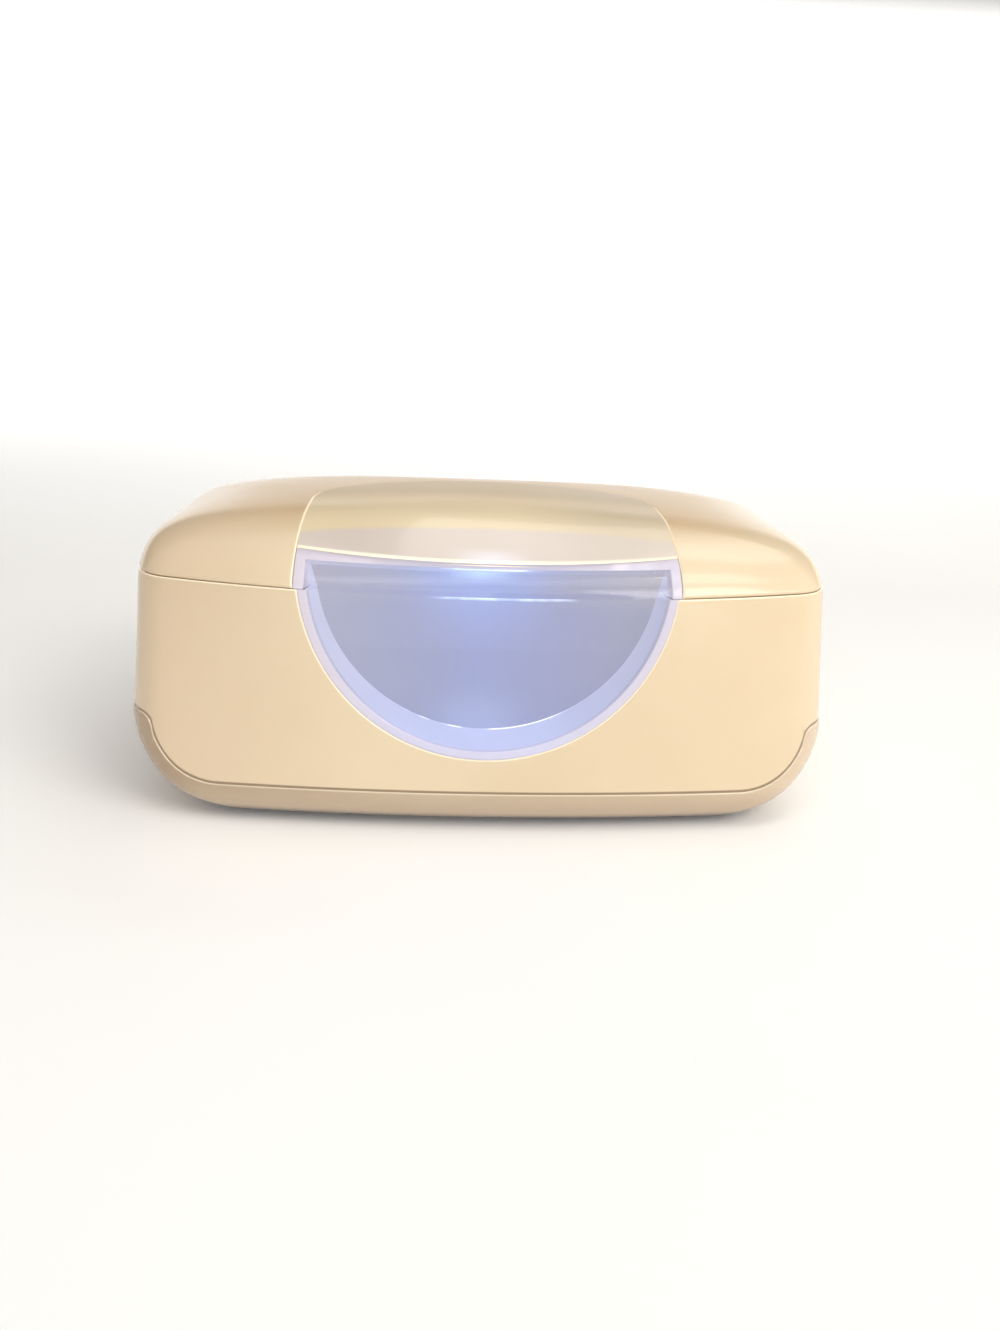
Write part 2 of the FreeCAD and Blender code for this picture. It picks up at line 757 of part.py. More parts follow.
def draw_rectangle(sketch, length, width):
    """Rectangle centred on the sketch's origin; the sizes are expressions on the sheet."""
    corners = [Vector(-10, -5, 0), Vector(10, -5, 0), Vector(10, 5, 0), Vector(-10, 5, 0)]
    for i in range(4):
        sketch.addGeometry(Part.LineSegment(corners[i], corners[(i + 1) % 4]), False)
    for i in range(4):
        sketch.addConstraint(Sketcher.Constraint("Coincident", i, 2, (i + 1) % 4, 1))
    for i, kind in enumerate(("Horizontal", "Vertical", "Horizontal", "Vertical")):
        sketch.addConstraint(Sketcher.Constraint(kind, i))
    sketch.addConstraint(Sketcher.Constraint("Symmetric", 0, 1, 1, 2, -1, 1))
    name_size(sketch, Sketcher.Constraint("DistanceX", 0, 1, 0, 2, 20.0), "length", length)
    name_size(sketch, Sketcher.Constraint("DistanceY", 1, 1, 1, 2, 10.0), "width", width)


def draw_circle(sketch, radius, x=0.0, y=0.0):
    """Circle of a radius given on the sheet, at a fixed place."""
    index = sketch.addGeometry(Part.Circle(Vector(x, y, 0), Vector(0, 0, 1), 1.0), False)
    if x == 0.0 and y == 0.0:
        sketch.addConstraint(Sketcher.Constraint("Coincident", index, 3, -1, 1))
    else:
        sketch.addConstraint(Sketcher.Constraint("DistanceX", -1, 1, index, 3, x))
        sketch.addConstraint(Sketcher.Constraint("DistanceY", -1, 1, index, 3, y))
    name_size(sketch, Sketcher.Constraint("Radius", index, 1.0), "radius%d" % index, radius)


def new_body(label, at, turn=None):
    body = doc.addObject("PartDesign::Body", label)
    body.Placement = Placement(Vector(*at), turn or Rotation())
    return body


def pad(body, sketch, thick):
    feature = body.newObject("PartDesign::Pad", sketch.Name + "_pad")
    feature.Profile = sketch
    bind(feature, Length=thick)
    return feature


def plate(label, length, width, thick, at, holes=(), hole_radius=1.8, turn=None):
    """Flat rectangular piece made as a pad, with round holes through it."""
    body = new_body(label, at, turn)
    sketch = new_sketch(body, label + "_outline")
    draw_rectangle(sketch, length, width)
    base = pad(body, sketch, thick)
    doc.recompute()
    if holes:
        before = base.Shape.Volume
        pattern = new_sketch(body, label + "_holes")
        for x, y in holes:
            draw_circle(pattern, str(hole_radius), x, y)
        pocket = body.newObject("PartDesign::Pocket", label + "_drilled")
        pocket.Profile = pattern
        pocket.Type = "ThroughAll"
        pocket.Midplane = True
        body.Tip = pocket
        doc.recompute()
        if pocket.Shape.Volume > before - 0.1:
            raise RuntimeError(label + ": the holes cut nothing")
    return keep(body, label)


def screw_shape(length, head_radius=SCREW_HEAD, shank=SCREW_SHANK, head=HEAD_HEIGHT):
    """Pan-head screw standing on its point: shank up from zero, cross recess in the head."""
    body = Part.makeCylinder(shank - 0.02, length)
    top = Part.makeCylinder(head_radius, head, Vector(0, 0, length))
    top = top.makeFillet(0.5, [e for e in top.Edges if e.BoundBox.ZMin > length + head - 0.01])
    slot_long = head_radius * 1.1
    for turn in (0, 90):
        slot = block((-slot_long / 2, -0.35, length + head - 0.7), (slot_long / 2, 0.35, length + head + 1.0))
        slot.rotate(Vector(0, 0, 0), Vector(0, 0, 1), turn)
        top = cut(top, slot)
    point = Part.makeCone(0.4, shank - 0.02, 1.4)
    core = Part.makeCylinder(shank, 1.4)
    return fuse(cut(body, core), point, top)


def screws(label, places, length, turn=None, **sizes):
    """Identical screws as one group; each place is where the underside of a head sits."""
    group = []
    for place in places:
        screw = screw_shape(length, **sizes)
        screw.translate(Vector(0, 0, -length))
        if turn:
            screw.rotate(Vector(0, 0, 0), turn[0], turn[1])
        screw.translate(Vector(*place))
        group.append(screw)
    item = doc.addObject("Part::Feature", label)
    item.Shape = Part.makeCompound(group)
    item.Placement = Placement()
    return keep(item, label)


def make_hinge_pins():
    for side, sign in (("left", -1), ("right", 1)):
        pin = doc.addObject("Part::Cylinder", "hinge_pin_" + side + "_rod")
        pin.Placement = Placement(Vector(0, 0, 0), Rotation(Vector(0, 1, 0), 90))
        bind(pin, Radius="<pin_radius>", Height="<pin_length>", Placement__Base__y="<hinge_rear>",
             Placement__Base__z="<seam_height>",
             Placement__Base__x="%d * <hinge_station> - <pin_length> / 2" % sign)
        doc.recompute()
        ends = doc.addObject("Part::Chamfer", "hinge_pin_" + side)
        ends.Base = pin
        ends.Edges = [(i + 1, 0.3, 0.3) for i, e in enumerate(pin.Shape.Edges) if e.BoundBox.XLength < 0.01]
        keep(ends, "hinge_pin_" + side)


def make_rubber_feet():
    """Four round pads with a softened lower edge."""
    feet = []
    radius = dim("foot_radius")
    height = dim("base_height") - 0.05
    for sx in (-1, 1):
        for sy in (-1, 1):
            foot = upright(sx * dim("foot_x"), sy * dim("foot_y"), 0.0, height, radius)
            lower = [e for e in foot.Edges if e.BoundBox.ZMax < 0.01]
            feet.append(foot.makeFillet(0.5, lower))
    item = doc.addObject("Part::Feature", "rubber_feet")
    item.Shape = Part.makeCompound(feet)
    item.Placement = Placement()
    keep(item, "rubber_feet")


def make_power_jack():
    """Barrel inlet: a block behind the rear wall with a round neck that fills the hole in it."""
    x = dim("jack_x")
    z = dim("jack_z")
    back = dim("jack_back")
    face = dim("jack_face")
    side = 6.0
    neck = Part.makeCylinder(dim("jack_neck"), face - back, Vector(x, back, z), Vector(0, 1, 0))
    body = fuse(block((x - side, back, z - side), (x + side, face - 3.2, z + side)), neck)
    depth = dim("jack_depth")
    bore = Part.makeCylinder(dim("jack_bore"), depth + 1.0, Vector(x, face - depth, z), Vector(0, 1, 0))
    add_shape("power_jack", cut(body, bore))
    pin = Part.makeCylinder(dim("jack_pin"), depth - 1.0, Vector(x, face - depth, z), Vector(0, 1, 0))
    tip = [e for e in pin.Edges if e.BoundBox.YMin > face - 1.5]
    add_shape("jack_pin", pin.makeChamfer(0.25, tip))


def make_control_board():
    """Upright circuit board behind the tub, with its regulator, capacitor and connector."""
    length = dim("board_length")
    height = dim("board_height")
    rear = dim("board_rear")
    thick = dim("board_thick")
    x0 = -76.0
    z0 = 22.0
    board = block((x0, rear - thick, z0), (x0 + length, rear, z0 + height))
    jack_x = dim("jack_x")
    notch = 6.4
    board = cut(board, block((jack_x - notch, 0.0, 0.0), (jack_x + notch, FAR, dim("jack_z") + notch)))
    for x, z in BOARD_SCREWS:
        board = cut(board, Part.makeCylinder(1.2, 10.0, Vector(x, rear - 5.0, z), Vector(0, 1, 0)))
    face = rear - thick
    regulator = block((-36.0, face - 2.4, 28.0), (-26.0, face, 38.0))
    connector = block((-50.0, face - 3.6, 44.0), (-40.0, face, 50.0))
    capacitor = Part.makeCylinder(2.5, 3.6, Vector(-20.0, face - 3.6, 32.0), Vector(0, 1, 0))
    add_shape("control_board", fuse(board, regulator, connector, capacitor))


def make_leads():
    """Twin leads inside the housing: one climbs from the board to the hinge, one crosses the lid."""

    def lead(label, points, radius):
        runs = [Part.LineSegment(Vector(*a), Vector(*b)).toShape() for a, b in zip(points, points[1:])]
        path = Part.Wire(runs)
        start = Vector(*points[0])
        along = Vector(*points[1]) - start
        ring = Part.Wire(Part.Circle(start, along, radius).toShape())
        add_shape(label, path.makePipeShell([ring], True, False, 2))

    climb = [(-45.0, 65.2, 50.1), (-45.0, 65.6, 60.0), (-45.0, 69.0, 68.0), (-45.0, 69.0, 83.3)]
    cross = [(-46.0, 68.2, 93.1), (-46.0, 65.0, 95.4), (-52.0, 52.0, 97.6), (-62.0, 40.0, 98.2)]
    lead("supply_lead", climb, 1.1)
    lead("lid_lead", cross, 1.1)


def make_lid_small_parts():
    """Night light under the lip, and the two thermal devices beside the heating mat."""
    base = dim("led_board_base")
    y = -73.2
    plate("led_board", "<led_board_length>", "<led_board_width>", "<led_board_thick>", (0.0, y, base))
    dome = Part.makeCylinder(2.4, 1.6, Vector(0, y, base - 0.05), Vector(0, 0, -1))
    dome = dome.makeFillet(0.6, [e for e in dome.Edges if e.BoundBox.ZMax < base - 1.6])
    add_shape("led", dome)
    diffuser_front = -dim("tub_window_front")
    bottom = dim("seam_height") + dim("seam_gap") / 2
    diffuser = block((-58.0, diffuser_front, bottom + 0.1), (58.0, diffuser_front + dim("pane"), 98.4))
    corners = [e for e in diffuser.Edges if e.BoundBox.ZMin > 98.0 and e.BoundBox.XLength < 0.01]
    add_shape("light_diffuser", diffuser.makeFillet(6.0, corners))
    mat_top = dim("mat_base")
    can = upright(80.0, 0.0, mat_top, mat_top + 4.6, 4.6)
    terminals = block((79.2, -3.4, mat_top + 4.5), (80.8, 3.4, mat_top + 7.0))
    add_shape("thermostat", fuse(can, terminals))
    link = Part.makeCylinder(1.6, 14.0, Vector(-80.5, -7.0, mat_top + 1.7), Vector(0, 1, 0))
    add_shape("thermal_fuse", link.makeChamfer(0.4, [e for e in link.Edges if e.BoundBox.YLength < 0.01]))


def make_screws():
    down = (Vector(1, 0, 0), 180)
    screws("base_screws", [(x, y, 4.35) for x, y in BASE_SCREWS], 14.0, down)
    screws("tub_screws", [(x, y, dim("tub_rim")) for x, y in TUB_SCREWS], 12.0)
    screws("lid_screws", [(x, y, dim("liner_bottom")) for x, y in LID_SCREWS], 5.5, down)
    towards_rear = (Vector(1, 0, 0), 90)
    board_face = dim("board_rear") - dim("board_thick")
    places = [(x, board_face, z) for x, z in BOARD_SCREWS]
    screws("board_screws", places, 6.0, towards_rear, head_radius=1.9, shank=1.0, head=1.2)
    top = dim("heater_base") + dim("heater_thick")
    screws("heater_screws", [(x, y, top) for x, y in HEATER_SCREWS], 3.0,
           head_radius=1.9, shank=1.0, head=1.2)


def build():
    make_body_shell()
    make_base_cradle()
    make_window_frame()
    make_window_lens()
    half_round("tub_window", "<tub_window_radius>", "<pane>", "-<tub_window_front>", "<tub_rim>")
    half_round("tub_window_seal", "<tub_window_radius> - 0.3", "0.6", "-<tub_window_front> + <pane> + 0.05",
               "<tub_rim>", "<sight_radius> + 0.3")
    make_tub()
    make_lid_shell()
    make_lid_panel()
    make_panel_backing()
    make_lid_lens()
    make_lid_liner()
    make_lid_gasket()
    plate("tub_insulation", "<pad_length>", "<pad_width>", "<pad_thick>", (0.0, -1.0, dim("pad_base")))
    plate("heater_plate", "<heater_length>", "<heater_width>", "<heater_thick>",
          (0.0, 0.0, dim("heater_base")), HEATER_SCREWS, 1.1)
    plate("heater_mat", "<mat_length>", "<mat_width>", "<mat_thick>", (0.0, 0.0, dim("mat_base")))
    plate("heater_insulation", "<foam_length>", "<foam_width>", "<foam_thick>", (0.0, 0.0, dim("foam_base")))
    make_hinge_pins()
    make_rubber_feet()
    make_power_jack()
    make_control_board()
    make_leads()
    make_lid_small_parts()
    make_screws()


def export():
    """Checks every object and every sub-part, then writes one file for each sub-part."""
    doc.recompute()
    for item in doc.Objects:
        if "Invalid" in item.State or "Error" in item.State:
            raise RuntimeError("%s failed: %s" % (item.Label, item.State))
    for item in parts:
        shape = item.Shape
        if shape.isNull() or not shape.isValid() or not shape.Solids:
            raise RuntimeError(item.Label + " has no valid solid")
    os.makedirs("parts", exist_ok=True)
    for item in parts:
        item.Shape.exportStep(os.path.join("parts", item.Label + ".step"))
        box = item.Shape.BoundBox
        print("%-20s solids %d volume %.0f box %.1f %.1f %.1f to %.1f %.1f %.1f" % (
            item.Label, len(item.Shape.Solids), item.Shape.Volume,
            box.XMin, box.YMin, box.ZMin, box.XMax, box.YMax, box.ZMax))
    print(len(parts), "sub-parts")


build()
export()
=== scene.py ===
"""Looks of the wipe warmer: glossy cream shells, a milky lid panel and a half-round window lit from within.

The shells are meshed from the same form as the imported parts. Lengths inside the mesh code are in
millimetres in the row frame, and each piece is scaled to metres when it is made.
"""

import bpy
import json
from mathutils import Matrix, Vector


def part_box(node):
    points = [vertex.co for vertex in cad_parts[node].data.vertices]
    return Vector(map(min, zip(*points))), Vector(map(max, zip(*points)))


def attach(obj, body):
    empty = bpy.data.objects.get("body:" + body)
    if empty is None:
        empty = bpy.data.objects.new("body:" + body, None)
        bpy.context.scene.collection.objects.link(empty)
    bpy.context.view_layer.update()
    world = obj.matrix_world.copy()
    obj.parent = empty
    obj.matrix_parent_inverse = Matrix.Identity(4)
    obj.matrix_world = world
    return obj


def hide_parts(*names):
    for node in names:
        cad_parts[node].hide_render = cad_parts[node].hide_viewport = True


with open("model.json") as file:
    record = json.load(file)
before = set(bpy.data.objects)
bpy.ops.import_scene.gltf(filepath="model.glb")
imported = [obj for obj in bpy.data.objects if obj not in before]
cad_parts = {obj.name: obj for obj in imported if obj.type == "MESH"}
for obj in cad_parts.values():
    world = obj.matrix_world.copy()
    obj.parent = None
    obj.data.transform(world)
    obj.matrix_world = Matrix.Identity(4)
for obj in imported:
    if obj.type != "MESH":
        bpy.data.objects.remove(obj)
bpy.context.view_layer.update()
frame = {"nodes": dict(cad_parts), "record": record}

import json
import math

import bmesh
import bpy
from mathutils import Matrix, Vector

MM = 0.001

# ---------------------------------------------------------------- the form, in millimetres


def box_mm(node):
    low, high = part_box(node)
    return low / MM, high / MM


cradle_low, cradle_high = box_mm("base_cradle")
panel_high = box_mm("lid_panel")[1]
frame_low = box_mm("window_frame")[0]
hinge = frame["record"]["behaviour"]["joints"][0]["pos_m"]

# how far the cradle and the lid panel stand proud of the form, and the wall and seam between shells
PROUD = 0.5
PANEL_PROUD = 0.3
WALL = 2.4
SEAM_GAP = 0.5
SEAM = hinge[2] / MM
SEAM_LOW = SEAM - SEAM_GAP / 2
SEAM_HIGH = SEAM + SEAM_GAP / 2
HINGE_Y = hinge[1] / MM

# the form: its ends, corners, bows and the roll towards the crest
BASE = cradle_low.z
WIDEST = cradle_high.x - PROUD
SEAM_HALF = WIDEST - 3.3
FRONT = -cradle_low.y - PROUD
REAR = cradle_high.y - PROUD
CREST = panel_high.z - PANEL_PROUD
PANEL_HALF = panel_high.x
SIDE_CORNER = 35.8
LOWER_EDGE = 10.4
ROLL_START = 87.25
CREST_SHIFT = 1.5
BOW_LOW = 909.0
BOW_SEAM = 370.0
BOW_REAR = 1500.0
PLAN_CORNER = 17.5
SIDE_POWER, SIDE_ROOT = 4.3, 1.8
FRONT_POWER, FRONT_ROOT = 1.8, 2.59

# the cradle's upper edge, and the window with its ring
CRADLE_FRONT = 15.9
CRADLE_SIDE = 39.3
CRADLE_FLAT = 95.0
CRADLE_CORNER = 24.0
CRADLE_FLARE = 4.5
WINDOW_Z = 94.2
WINDOW_R = WINDOW_Z - frame_low.z + 0.2
FLANGE_R = 62.3
TUNNEL_R = 60.0
TUB_WINDOW_Y = box_mm("tub_window")[0].y

# the lid panel, its finger lip and the pane below it
PANEL_REAR = 19.0
PANEL_BOW = 105.0
PANEL_CORNER = 28.0
PANE_TOP = 96.7
LIP = 99.8
LIP_REACH = 80.9
LIP_END = 65.1
LIP_FADE = 108.5
LEG_IN = PANEL_HALF - 3.8

# small details shared by several pieces
EDGE_R = 0.7
GLASS = 2.0
RING_WALL = 1.2
SHADED = 0.35
FOOT = SEAM_LOW + 0.2


def bowed(edge, bow, sign, half, corner):
    """Centre height, corner centre and join angle of half a bowed side with a tangent corner arc."""
    centre = edge - sign * bow
    corner_x = half - corner
    corner_y = centre + sign * math.sqrt((bow - corner) ** 2 - corner_x ** 2)
    return centre, corner_x, corner_y, math.atan2(corner_x, sign * (corner_y - centre))


def level(z, inset=0.0):
    """Half width, front, rear, front bow, rear bow and corner radius of the form at one height."""
    base = BASE + max(inset, 0.0)
    side = SIDE_CORNER - inset
    edge = LOWER_EDGE - inset
    share = min(1.0, max(0.0, (z - base - side) / (SEAM - base - side)))
    half = WIDEST + (SEAM_HALF - WIDEST) * share - inset
    drop = min(side, max(0.0, side - (z - base)))
    half -= side - math.sqrt(side ** 2 - drop ** 2)
    drop = min(edge, max(0.0, edge - (z - base)))
    tuck = edge - math.sqrt(edge ** 2 - drop ** 2)
    rise = min(1.0, max(0.0, (z - ROLL_START) / (CREST - inset - ROLL_START)))
    half *= max(0.0, 1.0 - rise ** SIDE_POWER) ** (1.0 / SIDE_ROOT)
    reach = max(0.0, 1.0 - rise ** FRONT_POWER) ** (1.0 / FRONT_ROOT)
    front = -CREST_SHIFT - (FRONT - inset - tuck - CREST_SHIFT) * reach
    rear = -CREST_SHIFT + (REAR - inset - tuck + CREST_SHIFT) * reach
    share = min(1.0, max(0.0, (z - CRADLE_FRONT) / (SEAM - CRADLE_FRONT)))
    curvature = (1.0 - share) / BOW_LOW + share / BOW_SEAM
    shrink = 1.0 - 0.5 * rise
    bow = max((1.0 / curvature - inset) * shrink, 1.02 * half)
    bow_rear = max((BOW_REAR - inset) * shrink, 1.02 * half)
    corner = min(PLAN_CORNER - inset + 20.0 * rise, 0.49 * (rear - front), 0.8 * half)
    return half, front, rear, bow, bow_rear, corner


def outline(z, half, front, rear, bow, bow_rear, corner, steps=(44, 14, 16, 14, 26)):
    """Points round the form at one height, anticlockwise from the middle of the front."""
    n_front, n_corner, n_side, n_turn, n_rear = steps
    while bowed(front, bow, -1, half, corner)[2] > bowed(rear, bow_rear, 1, half, corner)[2]:
        corner *= 0.98
    centre, corner_x, corner_y, join = bowed(front, bow, -1, half, corner)
    right = []
    for i in range(n_front):
        a = join * i / n_front
        right.append((bow * math.sin(a), centre - bow * math.cos(a)))
    for i in range(n_corner):
        a = join + (math.pi / 2 - join) * i / n_corner
        right.append((corner_x + corner * math.sin(a), corner_y - corner * math.cos(a)))
    front_end = corner_y
    centre, corner_x, corner_y, join = bowed(rear, bow_rear, 1, half, corner)
    for i in range(n_side):
        right.append((half, front_end + (corner_y - front_end) * i / n_side))
    for i in range(n_turn):
        a = math.pi / 2 + (join - math.pi / 2) * i / n_turn
        right.append((corner_x + corner * math.sin(a), corner_y + corner * math.cos(a)))
    for i in range(n_rear + 1):
        a = join * (1.0 - i / n_rear)
        right.append((bow_rear * math.sin(a), centre + bow_rear * math.cos(a)))
    left = [(-x, y) for x, y in right[1:-1]][::-1]
    return [Vector((x, y, z)) for x, y in right + left]


def front_y(x, z, inset=0.0):
    """Where the form's front stands at a place beside the middle."""
    half, front, _, bow, _, corner = level(z, inset)
    centre, corner_x, corner_y, join = bowed(front, bow, -1, half, corner)
    if abs(x) <= bow * math.sin(join):
        return centre - math.sqrt(bow ** 2 - x ** 2)
    return corner_y - math.sqrt(max(0.0, corner ** 2 - (abs(x) - corner_x) ** 2))


# ---------------------------------------------------------------- mesh tools


def spread(low, high, count):
    return [low + (high - low) * i / count for i in range(count + 1)]


def rings_mesh(rings, cap_first=False, cap_last=False):
    """Closed rings of equal length, joined by quads."""
    bm = bmesh.new()
    rows = [[bm.verts.new(p) for p in ring] for ring in rings]
    n = len(rows[0])
    for a, b in zip(rows, rows[1:]):
        for i in range(n):
            bm.faces.new((a[i], a[(i + 1) % n], b[(i + 1) % n], b[i]))
    if cap_first:
        cap(bm, rows[0], False)
    if cap_last:
        cap(bm, rows[-1], True)
    bm.normal_update()
    return bm


def cap(bm, row, up):
    """Closes a symmetric ring with strips across it, from its front middle to its rear middle."""
    n = len(row)
    half = n // 2
    for i in range(half):
        a, b = row[i], row[i + 1]
        c, d = row[(n - i - 1) % n], row[(n - i) % n]
        face = [v for k, v in enumerate((a, b, c, d)) if v not in (a, b, c, d)[:k]]
        if len(face) > 2:
            bm.faces.new(face if up else face[::-1])


def grid_mesh(rows):
    """Open sheet through rows of points of equal length."""
    bm = bmesh.new()
    made = [[bm.verts.new(p) for p in row] for row in rows]
    for a, b in zip(made, made[1:]):
        for i in range(len(a) - 1):
            bm.faces.new((a[i], a[i + 1], b[i + 1], b[i]))
    bmesh.ops.remove_doubles(bm, verts=bm.verts[:], dist=0.002)
    bm.normal_update()
    return bm


def face_out(bm):
    """Turns every face so that the sheet as a whole looks towards the front."""
    bm.normal_update()
    if sum(f.normal.y * f.calc_area() for f in bm.faces) > 0.0:
        bmesh.ops.reverse_faces(bm, faces=bm.faces[:])
    bm.normal_update()


# ---------------------------------------------------------------- lid


def front_sheet(rows):
    """Open sheet through rows of points that looks towards the front."""
    bm = grid_mesh(rows)
    face_out(bm)
    return bm


def contour(bm, field, value):
    """Adds vertices and edges along the line where the field has the value."""
    off = {v: field(v.co) - value for v in bm.verts}
    for v, d in off.items():
        if abs(d) < 0.01:
            off[v] = 0.0
    for e in bm.edges[:]:
        a, b = off[e.verts[0]], off[e.verts[1]]
        if a * b < 0.0:
            off[bmesh.utils.edge_split(e, e.verts[0], a / (a - b))[1]] = 0.0
    for f in bm.faces[:]:
        on = [i for i, v in enumerate(f.verts) if off[v] == 0.0]
        if len(on) >= 2 and len(f.verts) > 3:
            i, k = on[0], on[-1]
            if 1 < k - i < len(f.verts) - 1:
                bmesh.utils.face_split(f, f.verts[i], f.verts[k])


def keep_above(bm, field, value=0.0):
    """Cuts the mesh along the field's contour and drops the side below it."""
    contour(bm, field, value)
    gone = [f for f in bm.faces if sum(field(v.co) for v in f.verts) / len(f.verts) < value]
    bmesh.ops.delete(bm, geom=gone, context="FACES")


def round_edges(bm, fields, radius, bright=1):
    """Turns the sheet down by a quarter round along each field's zero line.

    The layer "rim" marks the rounded edge of the first fields, as many as bright says; the materials paint a
    highlight along it.
    """
    steps = (0.04, 0.15, 0.35, 0.65, 1.0)
    for field in fields:
        for share in steps:
            contour(bm, field, radius * share)
    bm.normal_update()
    rim = bm.verts.layers.float.get("rim") or bm.verts.layers.float.new("rim")
    moves = {}
    for v in bm.verts:
        depth = 0.0
        for i, field in enumerate(fields):
            near = min(max(field(v.co) / radius, 0.0), 1.0)
            depth += radius * (1.0 - math.sqrt(1.0 - (1.0 - near) ** 2))
            if i < bright:
                v[rim] = max(v[rim], 1.0 - near)
        moves[v] = v.normal * min(depth, radius)
    for v, move in moves.items():
        v.co -= move


def tidy(bm):
    bmesh.ops.dissolve_degenerate(bm, edges=bm.edges[:], dist=0.004)
    loose = [v for v in bm.verts if not v.link_faces]
    bmesh.ops.delete(bm, geom=loose, context="VERTS")


def link_object(name, data):
    obj = bpy.data.objects.new(name, data)
    bpy.context.scene.collection.objects.link(obj)
    return obj


def mesh_object(name, bm, scale=MM):
    """Object from a mesh in millimetres; the mesh is used up."""
    mesh = bpy.data.meshes.new(name)
    bm.to_mesh(mesh)
    bm.free()
    mesh.transform(Matrix.Scale(scale, 4))
    return link_object(name, mesh)


def smooth(mesh):
    for poly in mesh.polygons:
        poly.use_smooth = True


def set_shade(bm, amount):
    """Fills the layer "shade", which darkens the plastic by the amount given for each point."""
    shade = bm.verts.layers.float.new("shade")
    for v in bm.verts:
        v[shade] = amount(v.co)


def add_piece(name, bm, body, material, replaces=(), thick=0.0, cutters=(), sharp=38.0):
    """Makes the object: optional wall thickness and cut-outs, sharp edges by angle, weighted normals."""
    tidy(bm)
    obj = mesh_object(name, bm)
    if thick:
        wall = obj.modifiers.new("wall", "SOLIDIFY")
        wall.thickness = thick * MM
        wall.offset = -1.0
    for cutter in cutters:
        hole = obj.modifiers.new("hole", "BOOLEAN")
        hole.operation = "DIFFERENCE"
        hole.object = cutter
        hole.solver = "EXACT"
    if obj.modifiers:
        depsgraph = bpy.context.evaluated_depsgraph_get()
        made = bpy.data.meshes.new_from_object(obj.evaluated_get(depsgraph))
        obj.modifiers.clear()
        obj.data = made
        made.name = name
    smooth(obj.data)
    obj.data.set_sharp_from_angle(angle=math.radians(sharp))
    weigh = obj.modifiers.new("weighted", "WEIGHTED_NORMAL")
    weigh.keep_sharp = True
    obj.data.materials.clear()
    obj.data.materials.append(material)
    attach(obj, body)
    if replaces:
        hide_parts(*replaces)


def joined(*meshes):
    """One mesh from several."""
    whole = bmesh.new()
    for bm in meshes:
        part = bpy.data.meshes.new("part")
        bm.to_mesh(part)
        bm.free()
        whole.from_mesh(part)
        bpy.data.meshes.remove(part)
    return whole


# ---------------------------------------------------------------- fields along the edges of the shells


def from_window(p):
    """Distance outside the window's opening; behind the middle of the body it doesn't count."""
    if p.y > 0.0:
        return 100.0
    return math.hypot(p.x, p.z - WINDOW_Z) - WINDOW_R


def cradle_edge(x):
    """Height of the cradle's upper edge beside the middle: level, then an S up to the side."""
    rise = CRADLE_FRONT + CRADLE_CORNER
    fall = CRADLE_SIDE - CRADLE_FLARE
    flare_x = CRADLE_FLAT + math.sqrt((CRADLE_CORNER + CRADLE_FLARE) ** 2 - (rise - fall) ** 2)
    lean = math.atan2(flare_x - CRADLE_FLAT, rise - fall)
    turn_x = CRADLE_FLAT + CRADLE_CORNER * math.sin(lean)
    x = abs(x)
    if x <= CRADLE_FLAT:
        return CRADLE_FRONT
    if x <= turn_x:
        return rise - math.sqrt(CRADLE_CORNER ** 2 - (x - CRADLE_FLAT) ** 2)
    if x < flare_x:
        return fall + math.sqrt(CRADLE_FLARE ** 2 - (flare_x - x) ** 2)
    return CRADLE_SIDE


def above_cradle(p):
    """Roughly the distance above the cradle's edge, allowing for its slope."""
    slope = (cradle_edge(p.x + 0.2) - cradle_edge(p.x - 0.2)) / 0.4
    return (p.z - cradle_edge(p.x)) / math.hypot(1.0, slope)


def from_panel(p):
    """Distance outside the lid panel's plan outline, which is open to the front."""
    centre, corner_x, corner_y, join = bowed(PANEL_REAR, PANEL_BOW, 1, PANEL_HALF, PANEL_CORNER)
    x = abs(p.x)
    if p.y <= corner_y:
        return x - PANEL_HALF
    if math.atan2(x, p.y - centre) > join:
        return math.hypot(x - corner_x, p.y - corner_y) - PANEL_CORNER
    return math.hypot(x, p.y - centre) - PANEL_BOW


# ---------------------------------------------------------------- materials


def srgb(r, g, b):
    """Linear colour from display values of 0 to 255."""
    out = []
    for v in (r, g, b):
        v /= 255.0
        out.append(v / 12.92 if v <= 0.04045 else ((v + 0.055) / 1.055) ** 2.4)
    return (*out, 1.0)


